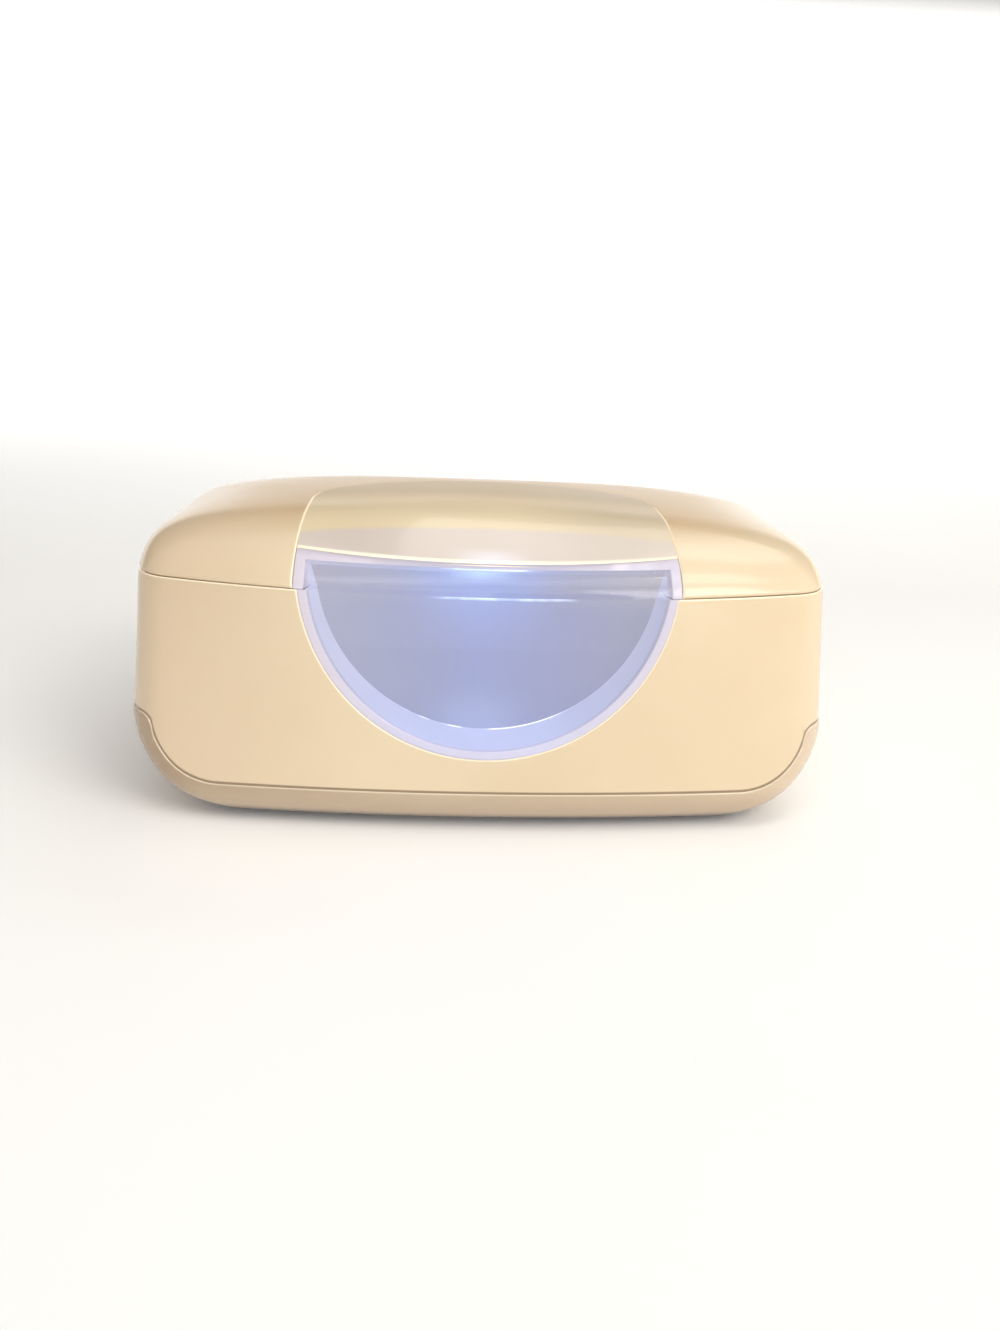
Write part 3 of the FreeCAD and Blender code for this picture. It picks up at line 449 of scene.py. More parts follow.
class Nodes:
    """Short hand for building a node material."""

    def __init__(self, name):
        self.material = bpy.data.materials.new(name)
        self.material.use_nodes = True
        self.tree = self.material.node_tree
        self.tree.nodes.clear()
        self.out = self.add("ShaderNodeOutputMaterial")

    def add(self, kind, **inputs):
        node = self.tree.nodes.new(kind)
        for key, value in inputs.items():
            self.put(node, key.replace("_", " "), value)
        return node

    def feed(self, socket, value):
        """Links an output to the socket, or writes a constant on it."""
        if isinstance(value, bpy.types.NodeSocket):
            self.tree.links.new(value, socket)
        else:
            socket.default_value = value

    def put(self, node, key, value):
        self.feed(node.inputs[key], value)

    def place(self, axis):
        """One coordinate of the point, in metres in the row frame."""
        coords = self.add("ShaderNodeTexCoord")
        split = self.add("ShaderNodeSeparateXYZ", Vector=coords.outputs["Object"])
        return split.outputs[axis]

    def layer(self, name):
        """The float layer that the mesh code wrote, or zero where a mesh has none."""
        node = self.tree.nodes.new("ShaderNodeAttribute")
        node.attribute_name = name
        return node.outputs["Fac"]

    def noise(self, scale, detail=3.0, rough=0.5, stretch=(1.0, 1.0, 1.0)):
        coords = self.add("ShaderNodeTexCoord")
        mapping = self.add("ShaderNodeMapping", Vector=coords.outputs["Object"], Scale=stretch)
        node = self.add("ShaderNodeTexNoise", Vector=mapping.outputs["Vector"], Scale=scale,
                        Detail=detail, Roughness=rough)
        return node.outputs["Fac"]

    def between(self, value, low, high, to_low=0.0, to_high=1.0, smooth=True):
        """Maps the value's range from low to high onto to_low to to_high, clamped at both ends."""
        node = self.tree.nodes.new("ShaderNodeMapRange")
        node.interpolation_type = "SMOOTHSTEP" if smooth else "LINEAR"
        for key, item in (("Value", value), ("From Min", low), ("From Max", high),
                          ("To Min", to_low), ("To Max", to_high)):
            self.put(node, key, item)
        return node.outputs["Result"]

    def ramp(self, value, stops):
        node = self.add("ShaderNodeValToRGB", Fac=value)
        ramp = node.color_ramp
        ramp.elements[0].position, ramp.elements[0].color = stops[0]
        ramp.elements[1].position, ramp.elements[1].color = stops[-1]
        for at, colour in stops[1:-1]:
            ramp.elements.new(at).color = colour
        return node.outputs["Color"]

    def mix(self, share, a, b):
        """Colour a, turning into colour b as the share goes from 0 to 1."""
        node = self.tree.nodes.new("ShaderNodeMix")
        node.data_type = "RGBA"
        node.clamp_factor = True
        sockets = [s for s in node.inputs if s.enabled]
        for socket, value in zip(sockets, (share, a, b)):
            self.feed(socket, value)
        return next(s for s in node.outputs if s.enabled)

    def math(self, operation, a, b=0.0):
        node = self.tree.nodes.new("ShaderNodeMath")
        node.operation = operation
        for socket, value in zip(node.inputs, (a, b)):
            self.feed(socket, value)
        return node.outputs["Value"]

    def times(self, a, b):
        return self.math("MULTIPLY", a, b)

    def plus(self, a, b):
        return self.math("ADD", a, b)

    def bump(self, height, strength, distance=0.0002):
        node = self.add("ShaderNodeBump", Height=height, Strength=strength, Distance=distance)
        return node.outputs["Normal"]

    def shade(self, **inputs):
        shader = self.add("ShaderNodeBsdfPrincipled")
        for key, value in inputs.items():
            self.put(shader, key.replace("_", " "), value)
        return self.finish(shader.outputs["BSDF"])

    def finish(self, surface):
        self.tree.links.new(surface, self.out.inputs["Surface"])
        return self.material


def shell_plastic(name, colour, shade, roughness=0.16, bottom_shade=None, edge=1.0):
    """Glossy moulded plastic with faint clouding, orange peel and uneven gloss.

    It has painted shade towards the left end, the crest and in seams, and a painted highlight along rounded
    edges.
    """
    n = Nodes(name)
    cloud = n.noise(9.0, 4.0)
    base = n.mix(n.between(cloud, 0.35, 0.7), colour, shade)
    # painted shade: browner towards the left end and darker towards the crest
    base = n.mix(n.between(n.place("X"), -0.040, -0.135, 0.0, 0.65), base, srgb(216, 191, 163))
    base = n.mix(n.between(n.place("Z"), 0.1010, 0.1095, 0.0, 0.9), base, srgb(196, 168, 132))
    # painted shade: darker towards the left end and the bottom, down to the given colour at the foot, and
    # painted light towards the right end
    if bottom_shade:
        base = n.mix(n.between(n.place("X"), 0.010, -0.120, 0.0, 0.8), base, srgb(168, 144, 118))
        base = n.mix(n.between(n.place("X"), 0.060, 0.125, 0.0, 0.8), base, srgb(226, 204, 178))
        base = n.mix(n.between(n.place("Z"), 0.019, 0.0075, 0.0, 1.0), base, srgb(196, 176, 152))
        base = n.mix(n.between(n.place("Z"), 0.0075, 0.0025, 0.0, 1.0), base, bottom_shade)
    # painted highlight along rounded edges
    base = n.mix(n.between(n.layer("rim"), 0.15, 0.75, 0.0, 0.75 * edge), base, srgb(255, 244, 220))
    # painted shade in seams and gaps, from the layer the mesh code fills
    base = n.mix(n.between(n.layer("shade"), 0.0, 1.0, 0.0, 0.85), base, srgb(138, 114, 88))
    haze = n.between(n.noise(30.0, 2.0, 0.5), 0.3, 0.8, roughness, roughness + 0.05)
    peel = n.bump(n.noise(420.0, 2.0), 0.03)
    satin = n.between(n.place("Z"), 0.1000, 0.1070, 1.0, 0.08)
    # the emission along rounded edges belongs to the painted highlight
    return n.shade(Base_Color=base, Roughness=haze, IOR=1.5, Normal=peel,
                   Specular_IOR_Level=n.times(satin, 0.5), Coat_Weight=n.times(satin, 0.25),
                   Emission_Color=srgb(255, 240, 214),
                   Emission_Strength=n.between(n.layer("rim"), 0.2, 0.8, 0.0, 0.16 * edge),
                   Coat_Roughness=0.06, Subsurface_Weight=0.12,
                   Subsurface_Radius=(0.004, 0.003, 0.002), Subsurface_Scale=1.0)


CREAM = srgb(236, 217, 185)
CREAM_SHADE = srgb(230, 209, 176)
shell = shell_plastic("cream_plastic", CREAM, CREAM_SHADE)
# the cradle: the same cream darkened as painted shade, with painted shade towards the bottom and a weaker
# painted edge highlight
cradle = shell_plastic("cradle_plastic", srgb(210, 190, 160), srgb(200, 179, 150), 0.2,
                       bottom_shade=srgb(108, 95, 90), edge=0.45)


def panel_material():
    """Milky cover: cream where the backing lies under it, lilac and faintly lit towards the lip.

    It has painted shade towards the crest and the right side, a painted dark reflection near the crest, a
    painted highlight along its rounded edges and a painted glow at the lip.
    """
    n = Nodes("milky_panel")
    y = n.place("Y")
    lit = n.between(y, -0.055, -0.0595)
    cloud = n.noise(14.0, 1.0)
    cream = n.mix(n.between(cloud, 0.35, 0.7), srgb(238, 220, 184), srgb(232, 213, 177))
    # painted shade towards the crest
    cream = n.mix(n.between(y, -0.052, -0.006), cream, srgb(198, 176, 144))
    milk = n.mix(n.between(cloud, 0.35, 0.7), srgb(220, 207, 195), srgb(213, 200, 190))
    # painted dark reflection, a ragged band near the crest
    reflection_edge = n.plus(y, n.times(n.noise(26.0, 2.0, 0.4, (1.0, 0.5, 1.0)), 0.022))
    cream = n.mix(n.between(reflection_edge, -0.012, 0.004, 0.0, 0.55), cream, srgb(180, 162, 130))
    base = n.mix(lit, cream, milk)
    # painted highlight along the rounded edges
    base = n.mix(n.between(n.layer("rim"), 0.1, 0.7, 0.0, 0.85), base, srgb(255, 242, 216))
    x = n.place("X")
    # painted shade towards the right side
    base = n.mix(n.between(x, 0.005, 0.050, 0.0, 0.45), base, srgb(188, 174, 154))
    # painted glow of the night light at the middle of the lip, plus a faint painted glow towards the lip and
    # along the rounded edges
    near = n.times(n.between(n.math("ABSOLUTE", x), 0.0, 0.017, 1.0, 0.0),
                  n.between(y, -0.070, -0.0805))
    rim = n.between(n.layer("rim"), 0.1, 0.7)
    glow = n.plus(n.times(near, 0.30), n.times(lit, 0.03))
    glow = n.plus(glow, n.times(rim, 0.22))
    satin = n.between(y, -0.050, -0.022, 1.0, 0.06)
    return n.shade(Base_Color=base, Roughness=n.between(n.noise(30.0, 1.0), 0.2, 0.8, 0.20, 0.24),
                   IOR=1.5, Specular_IOR_Level=n.times(satin, 0.5),
                   Coat_Weight=n.times(satin, 0.3), Coat_Roughness=0.04,
                   Normal=n.bump(n.noise(380.0, 2.0), 0.02),
                   Emission_Color=n.mix(rim, srgb(196, 214, 255), srgb(255, 238, 208)),
                   Emission_Strength=glow)


def frosted(name):
    """Frosted lilac plastic lit from behind: a paler face, a bluer tunnel wall, brighter at the bottom."""
    n = Nodes(name)
    place = n.place("X")
    z = n.place("Z")
    y = n.place("Y")
    x = n.between(place, -0.066, 0.066, smooth=False)
    face = n.ramp(x, [(0.0, srgb(224, 216, 226)), (0.5, srgb(210, 212, 240)), (1.0, srgb(206, 204, 220))])
    wall = n.ramp(x, [(0.0, srgb(216, 217, 232)), (0.5, srgb(206, 214, 244)), (1.0, srgb(200, 202, 220))])
    low = n.between(z, 0.060, 0.030)
    face = n.mix(low, face, srgb(206, 213, 252))
    wall = n.mix(low, wall, srgb(206, 218, 255))
    rise = n.math("SUBTRACT", z, WINDOW_Z * MM)
    far = n.math("SQRT", n.plus(n.times(place, place), n.times(rise, rise)))
    inner = n.times(n.between(far, FLANGE_R * MM, (FLANGE_R - 0.35) * MM),
                   n.between(z, 0.0956, 0.0966, 1.0, 0.0))
    colour = n.mix(inner, face, wall)
    grain = n.bump(n.noise(900.0, 2.0), 0.04)
    cloud = n.between(n.noise(30.0, 3.0), 0.3, 0.7, 0.94, 1.04)
    # painted shadow under the lip; below it, a painted glint along the tunnel's inner end at the bottom
    under_lip = n.between(z, 0.0974, 0.0990, 1.0, 0.62)
    strength = n.times(n.times(cloud, under_lip), n.between(inner, 0.0, 1.0, 0.40, 0.53))
    broken = n.between(n.noise(70.0, 2.0, 0.5, (1.0, 0.2, 0.2)), 0.46, 0.56)
    end = n.times(n.between(y, -0.0703, -0.0698), n.between(z, 0.0440, 0.0385))
    glint = n.times(end, broken)
    return n.shade(Base_Color=n.mix(inner, srgb(178, 172, 184), srgb(168, 170, 188)),
                   Roughness=0.28, IOR=1.47, Normal=grain,
                   Emission_Color=n.mix(glint, colour, srgb(255, 255, 255)),
                   Emission_Strength=n.plus(strength, n.times(glint, 0.5)),
                   Coat_Weight=0.25, Coat_Roughness=0.12)


def smoky_window():
    """Smoky blue-violet window of the tub: glows at the top and bottom middle, greyer to the sides."""
    n = Nodes("smoky_window")
    x = n.place("X")
    z = n.place("Z")
    side = n.between(x, -0.060, 0.060, smooth=False)
    across = n.ramp(side, [(0.0, srgb(180, 184, 203)), (0.28, srgb(172, 178, 210)),
                           (0.48, srgb(167, 178, 226)), (0.66, srgb(166, 173, 212)),
                           (1.0, srgb(174, 176, 194))])
    away = n.math("ABSOLUTE", n.plus(x, 0.003))
    upper = n.ramp(side, [(0.0, srgb(196, 193, 204)), (0.25, srgb(188, 194, 216)),
                          (0.48, srgb(178, 198, 246)), (0.68, srgb(188, 192, 214)),
                          (1.0, srgb(196, 192, 196))])
    across = n.mix(n.between(z, 0.078, 0.091), across, upper)
    top = n.times(n.between(z, 0.062, 0.092), n.between(away, 0.034, 0.0))
    foot = n.times(n.between(z, 0.056, 0.034), n.between(away, 0.024, 0.002))
    colour = n.mix(n.times(top, 0.85), across, srgb(178, 196, 252))
    colour = n.mix(n.times(foot, 0.9), colour, srgb(186, 200, 244))
    hot = n.times(n.between(away, 0.016, 0.0), n.between(z, 0.0885, 0.0950))
    colour = n.mix(hot, colour, srgb(200, 228, 255))
    band = n.between(z, 0.0655, 0.0640, 1.0, 0.965)
    grain = n.between(n.noise(22.0, 4.0), 0.3, 0.7, 0.975, 1.02)
    strength = n.times(n.times(band, grain), 0.75)
    strength = n.plus(strength, n.times(hot, 0.25))
    return n.shade(Base_Color=srgb(92, 92, 104), Roughness=0.14, IOR=1.45,
                   Normal=n.bump(n.noise(90.0, 2.0), 0.012),
                   Emission_Color=colour, Emission_Strength=strength)


def clear_pane(name, tint, weight, edge_z, middle, reach, power, roughness=0.03):
    """Clear pane as a thin gloss over a see-through tint; its top edge pipes the night light."""
    n = Nodes(name)
    through = n.add("ShaderNodeBsdfTransparent", Color=tint)
    gloss = n.add("ShaderNodeBsdfGlossy", Roughness=roughness, Color=(1.0, 1.0, 1.0, 1.0))
    wave = n.bump(n.noise(40.0, 2.0), 0.05, 0.0004)
    n.put(gloss, "Normal", wave)
    rim = n.add("ShaderNodeFresnel", IOR=1.45, Normal=wave)
    facing = n.add("ShaderNodeSeparateXYZ", Vector=n.add("ShaderNodeNewGeometry").outputs["True Normal"])
    edge_on = n.between(n.math("ABSOLUTE", facing.outputs["Z"]), 0.6, 0.9, 1.0, 0.05)
    share = n.times(n.times(rim.outputs["Fac"], weight), edge_on)
    mix = n.add("ShaderNodeMixShader", Fac=share)
    n.tree.links.new(through.outputs["BSDF"], mix.inputs[1])
    n.tree.links.new(gloss.outputs["BSDF"], mix.inputs[2])
    away = n.math("ABSOLUTE", n.math("SUBTRACT", n.place("X"), middle))
    lit = n.times(n.between(away, reach, reach - 0.010),
                 n.between(n.place("Z"), edge_z - 0.0005, edge_z - 0.0002))
    uneven = n.between(n.noise(120.0, 2.0), 0.35, 0.6, 0.35, 1.0)
    strength = n.times(n.times(lit, uneven), power)
    piped = n.add("ShaderNodeEmission", Color=srgb(214, 232, 255), Strength=strength)
    whole = n.add("ShaderNodeAddShader")
    n.tree.links.new(mix.outputs["Shader"], whole.inputs[0])
    n.tree.links.new(piped.outputs["Emission"], whole.inputs[1])
    return n.finish(whole.outputs["Shader"])


def plain(name, colour, shade, roughness, metallic=0.0, scale=60.0, bump=0.08, coat=0.0, stretch=(1, 1, 1)):
    """Everyday finish with a mottled colour, uneven gloss and a fine bump."""
    n = Nodes(name)
    mottle = n.noise(scale, 4.0, 0.55, stretch)
    base = n.mix(n.between(mottle, 0.35, 0.68), colour, shade)
    rough = n.between(n.noise(scale * 2.3, 3.0, 0.5, stretch), 0.3, 0.7, roughness * 0.85, roughness * 1.15)
    return n.shade(Base_Color=base, Roughness=rough, Metallic=metallic, Coat_Weight=coat,
                   Normal=n.bump(n.noise(scale * 6.0, 3.0, 0.5, stretch), bump))


ring_material = frosted("frosted_ring")
smoky = smoky_window()
pane = clear_pane("clear_pane", srgb(251, 251, 253), 0.45, SEAM_LOW * MM, 0.005, 0.027, 0.5)
lid_pane = clear_pane("lid_pane", srgb(250, 250, 253), 0.45, (PANE_TOP - 0.1) * MM, 0.0, 0.019, 0.7, 0.05)
milky = panel_material()

# ---------------------------------------------------------------- body shell and cradle


def lower_rings(inset, low, high, rows):
    return [outline(z, *level(z, inset)) for z in spread(low, high, rows)]


def turned_heights(inset, top, steps=16):
    """Heights round the bottom edge, close together where it turns most."""
    base = BASE + max(inset, 0.0)
    radius = SIDE_CORNER - inset
    heights = [base + radius * (1.0 - math.cos(math.pi / 2 * i / steps)) for i in range(steps + 1)]
    return [z for z in heights if z < top - 0.8] + [top]


def make_shell():
    rings = lower_rings(0.0, CRADLE_FRONT - 3.0, SEAM_LOW, 34)
    bm = rings_mesh(rings)
    keep_above(bm, from_window)
    keep_above(bm, above_cradle, -2.0)
    round_edges(bm, (from_window, lambda p: SEAM_LOW - p.z), EDGE_R, 2)
    # painted shade in the seam just above the cradle
    for value in (-0.3, 0.1, 0.35, 0.7):
        contour(bm, above_cradle, value)
    set_shade(bm, lambda p: min(1.0, max(0.0, (0.7 - above_cradle(p)) / 0.6)))
    add_piece("body_skin", bm, "body", shell, ("body_shell",), WALL)
    # tongue behind the seam, clear of the lid's wall, darkened by painted shade
    bm = rings_mesh([outline(z, *level(z, WALL + 0.15)) for z in spread(SEAM_LOW - 2.0, SEAM_LOW + 1.2, 4)])
    keep_above(bm, lambda p: from_window(p) - 3.0)
    set_shade(bm, lambda p: SHADED)
    add_piece("body_tongue", bm, "body", shell, ("body_shell",), 0.6)


def barrel(x_from, x_to, radius, points, start, end, steps=28):
    """Knuckle with its web: an arc round the hinge axis closed by the web's corners, drawn along X."""
    profile = [(HINGE_Y + radius * math.cos(a), SEAM + radius * math.sin(a))
               for a in spread(math.radians(start), math.radians(end), steps)]
    profile += points
    bm = bmesh.new()
    ends = []
    for x in (x_from, x_to):
        row = [bm.verts.new((x, y, z)) for y, z in profile]
        ends.append(bm.faces.new(row if x == x_to else row[::-1]))
    a, b = ends[0].verts[:][::-1], ends[1].verts[:]
    n = len(b)
    for i in range(n):
        bm.faces.new((a[i], a[(i + 1) % n], b[(i + 1) % n], b[i]))
    rim = [e for f in ends for e in f.edges]
    bmesh.ops.bevel(bm, geom=rim, offset=0.35, segments=3, affect="EDGES", profile=0.6)
    bm.normal_update()
    return bm


KNUCKLE = 4.0
STATION = (box_mm("hinge_pin_right")[0].x + box_mm("hinge_pin_right")[1].x) / 2
MIDDLE = 5.0
OUTER = 13.0
PLAY = 0.3


def make_knuckles():
    body = []
    lid = []
    wall_y = REAR - WALL - 1.0
    for sign in (-1, 1):
        for low, high in ((-OUTER, -MIDDLE), (MIDDLE, OUTER)):
            web = [(wall_y, SEAM_LOW), (wall_y, SEAM - 3.0 * KNUCKLE)]
            body.append(barrel(sign * STATION + low, sign * STATION + high, KNUCKLE, web, -37.0, 183.6))
        web = [(HINGE_Y - 14.0, SEAM + 2.2 * KNUCKLE), (HINGE_Y - 10.0, SEAM_HIGH)]
        lid.append(barrel(sign * STATION - MIDDLE + PLAY, sign * STATION + MIDDLE - PLAY, KNUCKLE, web,
                          -183.6, 63.0))
    add_piece("body_knuckles", joined(*body), "body", shell, ("body_shell",), sharp=30.0)
    add_piece("lid_knuckles", joined(*lid), "lid", shell, ("lid_shell",), sharp=30.0)


def round_tool(x, y, low, high, radius):
    bm = bmesh.new()
    bmesh.ops.create_cone(bm, cap_ends=True, segments=40, radius1=radius, radius2=radius, depth=high - low)
    bmesh.ops.translate(bm, vec=(x, y, (low + high) / 2), verts=bm.verts[:])
    return bm


def box_tool(low, high):
    bm = bmesh.new()
    bmesh.ops.create_cube(bm, size=1.0)
    size = [h - a for a, h in zip(low, high)]
    bmesh.ops.scale(bm, vec=size, verts=bm.verts[:])
    bmesh.ops.translate(bm, vec=[(a + h) / 2 for a, h in zip(low, high)], verts=bm.verts[:])
    return bm


BASE_SCREWS = [(-85.0, -72.5), (85.0, -72.5), (-88.0, 66.0), (88.0, 66.0)]
RECESS_R, RECESS_TOP = 3.3, 4.4
SLOTS, SLOT_FIRST, SLOT_PITCH, SLOT_WIDE = 5, -66.0, 12.0, 3.0
SLOT_FRONT, SLOT_REAR = 58.0, 70.0


def make_cradle():
    heights = turned_heights(-PROUD, 28.0, 18)
    heights += spread(heights[-1], CRADLE_SIDE + 2.0, 6)[1:]
    rings = [outline(z, *level(z, -PROUD)) for z in heights]
    bm = rings_mesh(rings, cap_first=True)

    def below_edge(p):
        return -above_cradle(p) - SEAM_GAP

    keep_above(bm, below_edge)
    round_edges(bm, (below_edge,), EDGE_R)
    holes = [round_tool(x, y, -1.0, RECESS_TOP, RECESS_R) for x, y in BASE_SCREWS]
    for i in range(SLOTS):
        left = SLOT_FIRST + SLOT_PITCH * i
        holes.append(box_tool((left, SLOT_FRONT, -1.0), (left + SLOT_WIDE, SLOT_REAR, 10.0)))
    cutter = mesh_object("cradle_holes", joined(*holes))
    add_piece("cradle_skin", bm, "body", cradle, ("base_cradle",), WALL + PROUD, (cutter,))
    bpy.data.objects.remove(cutter)


# ---------------------------------------------------------------- window


def ring_row(radius, y_of, count=96):
    """Points of an arc under the seam, from its left end round the bottom to its right end."""
    end = math.asin((SEAM_LOW - WINDOW_Z) / radius)
    row = []
    for a in spread(-math.pi - end, end, count):
        x = radius * math.cos(a)
        z = WINDOW_Z + radius * math.sin(a)
        row.append(Vector((x, y_of(x, z), z)))
    return row


def make_window():
    outer = WINDOW_R - 0.2
    turn = 0.5

    def on_hull(depth):
        return lambda x, z: front_y(x, z) + depth

    def inward(share):
        return lambda x, z: front_y(x, z) + (TUB_WINDOW_Y - 0.02 - front_y(x, z)) * share

    rows = [ring_row(outer, on_hull(2.4)), ring_row(outer, on_hull(turn))]
    for a in spread(0.0, 90.0, 4)[1:]:
        t = math.radians(a)
        rows.append(ring_row(outer - turn * (1.0 - math.cos(t)), on_hull(turn * (1.0 - math.sin(t)))))
    for radius in spread(outer - turn, FLANGE_R + 0.4, 4)[1:]:
        rows.append(ring_row(radius, on_hull(0.0)))
    for a in spread(0.0, 90.0, 3)[1:]:
        t = math.radians(a)
        rows.append(ring_row(FLANGE_R + 0.4 * (1.0 - math.sin(t)), on_hull(0.4 * (1.0 - math.cos(t)))))
    for share in spread(0.06, 1.0, 10):
        rows.append(ring_row(FLANGE_R + (TUNNEL_R - FLANGE_R) * share, inward(share)))
    bm = grid_mesh(rows)
    bmesh.ops.recalc_face_normals(bm, faces=bm.faces[:])
    face_out(bm)
    add_piece("window_ring", bm, "body", ring_material, ("window_frame",), RING_WALL)

    glass = FLANGE_R - 0.25
    first = math.asin((WINDOW_Z - SEAM_LOW) / glass)
    rows = []
    for a in spread(first, math.pi / 2 - 0.01, 40):
        z = WINDOW_Z - glass * math.sin(a)
        reach = glass * math.cos(a)
        rows.append([Vector((x, front_y(x, z, 0.15), z)) for x in spread(-reach, reach, 60)])
    bm = front_sheet(rows)
    add_piece("window_pane", bm, "body", pane, ("window_lens",), GLASS)


def upper_heights(low, steps=30, inset=0.0):
    """Heights from the seam to the crest, spaced evenly along the rolled front."""
    heights = [low]
    for i in range(1, steps + 1):
        reach = 1.0 - 0.985 * (i / steps) ** 1.5
        rise = (1.0 - reach ** FRONT_ROOT) ** (1.0 / FRONT_POWER)
        z = ROLL_START + (CREST - inset - ROLL_START) * rise
        if z > low + 0.4:
            heights.append(z)
    return heights


def make_lid():
    rings = [outline(z, *level(z)) for z in upper_heights(SEAM_HIGH)]
    bm = rings_mesh(rings, cap_last=True)
    grow = 0.2

    def outside(p):
        return from_panel(p) - grow

    keep_above(bm, outside)
    round_edges(bm, (outside, lambda p: p.z - SEAM_HIGH), EDGE_R)
    add_piece("lid_skin", bm, "lid", shell, ("lid_shell",), WALL)
    inset = WALL + 0.1
    bm = rings_mesh([outline(z, *level(z, inset)) for z in upper_heights(SEAM_HIGH + 0.3, inset=inset)])
    keep_above(bm, lambda p: from_panel(p) + 1.6)
    keep_above(bm, lambda p: 2.6 - from_panel(p))
    # painted shade on the ledge seen through the panel's groove
    set_shade(bm, lambda p: SHADED)
    add_piece("lid_ledge", bm, "lid", shell, ("lid_shell",), 1.0)


def lip_outline(z):
    """Outline of the panel's own form, whose front stands out as a finger lip near its lower edge."""
    inset = -PANEL_PROUD
    half, front, rear, bow, bow_rear, corner = level(z, inset)
    hull_front = level(LIP)[1]
    sag = PANEL_HALF ** 2 / (2.0 * bow)
    share = max(0.0, min(1.0, (LIP_FADE - z) / (LIP_FADE - LIP))) ** 2
    bulge = (LIP_REACH + hull_front) * share
    sag += bulge
    lip_bow = (PANEL_HALF ** 2 + sag ** 2) / (2.0 * sag)
    return outline(z, half, front - bulge, rear, lip_bow, bow_rear, corner, (60, 8, 10, 8, 26))


def make_panel():
    bm = rings_mesh([lip_outline(z) for z in upper_heights(LIP, 36, -PANEL_PROUD)], cap_last=True)

    def inside(p):
        return -from_panel(p)

    keep_above(bm, inside)
    round_edges(bm, (inside, lambda p: p.z - LIP if p.y < -40.0 else 50.0), 0.6, 2)
    add_piece("panel_cover", bm, "lid", milky, ("lid_panel",), 2.1)

    # the band under the lip, and a leg down each side of the pane
    low_mid = -level(PANE_TOP)[1]
    low_bow = level(PANE_TOP)[3]
    lip_sag = LIP_REACH - LIP_END
    lip_bow = (PANEL_HALF ** 2 + lip_sag ** 2) / (2.0 * lip_sag)

    def band_row(share, across):
        z = PANE_TOP + (LIP - 0.35 - PANE_TOP) * share
        low = [-low_mid + low_bow - math.sqrt(low_bow ** 2 - x ** 2) for x in across]
        high = [-LIP_REACH + 0.5 + lip_bow - math.sqrt(lip_bow ** 2 - x ** 2) for x in across]
        return [Vector((x, a + (b - a) * share, z)) for x, a, b in zip(across, low, high)]

    across = spread(-PANEL_HALF + 0.2, PANEL_HALF - 0.2, 80)
    rows = [band_row(share, across) for share in spread(0.0, 1.0, 6)]
    rows.insert(0, [p + Vector((0.0, 2.0, 0.0)) for p in rows[0]])
    band = front_sheet(rows)
    sides = []
    for sign in (-1, 1):
        xs = [sign * x for x in (PANEL_HALF - 0.2, PANEL_HALF - 0.35, PANEL_HALF - 0.7, LEG_IN + 0.5, LEG_IN)]
        depth = (0.6, 0.2, 0.0, 0.0, 0.25)
        rows = []
        for z in [FOOT, FOOT + 0.12, *spread(FOOT + 0.5, PANE_TOP + 0.6, 12)]:
            drop = 0.35 if z == FOOT else 0.08 if z < FOOT + 0.2 else 0.0
            rows.append([Vector((x, front_y(x, z) + d + drop, z)) for x, d in zip(xs, depth)])
        sides.append(front_sheet(rows))
    for sign in (-1, 1):
        rows = []
        for z in spread(FOOT - 0.05, PANE_TOP - 0.2, 10):
            start = front_y(LEG_IN, z) + 2.0
            end_y = guide_y(guide_half(z), z) - 0.05
            row = []
            for share in spread(0.0, 1.0, 8):
                x = LEG_IN + (guide_half(z) - 0.1 - LEG_IN) * share
                row.append(Vector((sign * x, start + (end_y - start) * share, z)))
            rows.append(row)
        sides.append(front_sheet(rows))
    add_piece("panel_bezel", joined(band, *sides), "lid", ring_material,
              ("lid_panel",), RING_WALL)


GUIDE_LOW = SEAM_LOW - 0.15
GUIDE_HIGH = PANE_TOP - 0.2


def guide_half(z):
    """Half length of the light guide, which spreads a little upwards."""
    return 59.9 + 2.1 * (z - GUIDE_LOW) / (GUIDE_HIGH - GUIDE_LOW)


def guide_y(x, z):
    """Face of the light guide: upright over the tub's window, leaning forward to the top of the pane."""
    share = (z - GUIDE_LOW) / (GUIDE_HIGH - GUIDE_LOW)
    top = min(TUB_WINDOW_Y, front_y(x, GUIDE_HIGH) + 2.6)
    return TUB_WINDOW_Y + (top - TUB_WINDOW_Y) * share ** 1.3


def make_light_guide():
    rows = []
    for z in spread(GUIDE_LOW, GUIDE_HIGH, 14):
        half = guide_half(z)
        rows.append([Vector((x, guide_y(x, z), z)) for x in spread(-half, half, 60)])
    bm = front_sheet(rows)
    add_piece("light_guide", bm, "lid", smoky, ("light_diffuser",), 1.6)


def make_lid_pane():
    reach = LEG_IN - 0.2
    rows = []
    for z in [FOOT, FOOT + 0.1, *spread(FOOT + 0.4, PANE_TOP - 0.1, 10)]:
        drop = 0.45 if z == FOOT else 0.2 if z < FOOT + 0.2 else 0.15
        rows.append([Vector((x, front_y(x, z) + drop, z)) for x in spread(-reach, reach, 60)])
    bm = front_sheet(rows)
    add_piece("lid_window_pane", bm, "lid", lid_pane, ("lid_lens",), GLASS)


make_shell()
make_knuckles()
make_cradle()
make_window()
make_lid()
make_panel()
make_light_guide()
make_lid_pane()

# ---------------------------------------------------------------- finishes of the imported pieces


def glowing(name, colour, strength):
    n = Nodes(name)
    grain = n.between(n.noise(900.0, 2.0), 0.3, 0.7, strength * 0.9, strength * 1.1)
    return n.shade(Base_Color=colour, Roughness=0.2, Emission_Color=colour, Emission_Strength=grain)


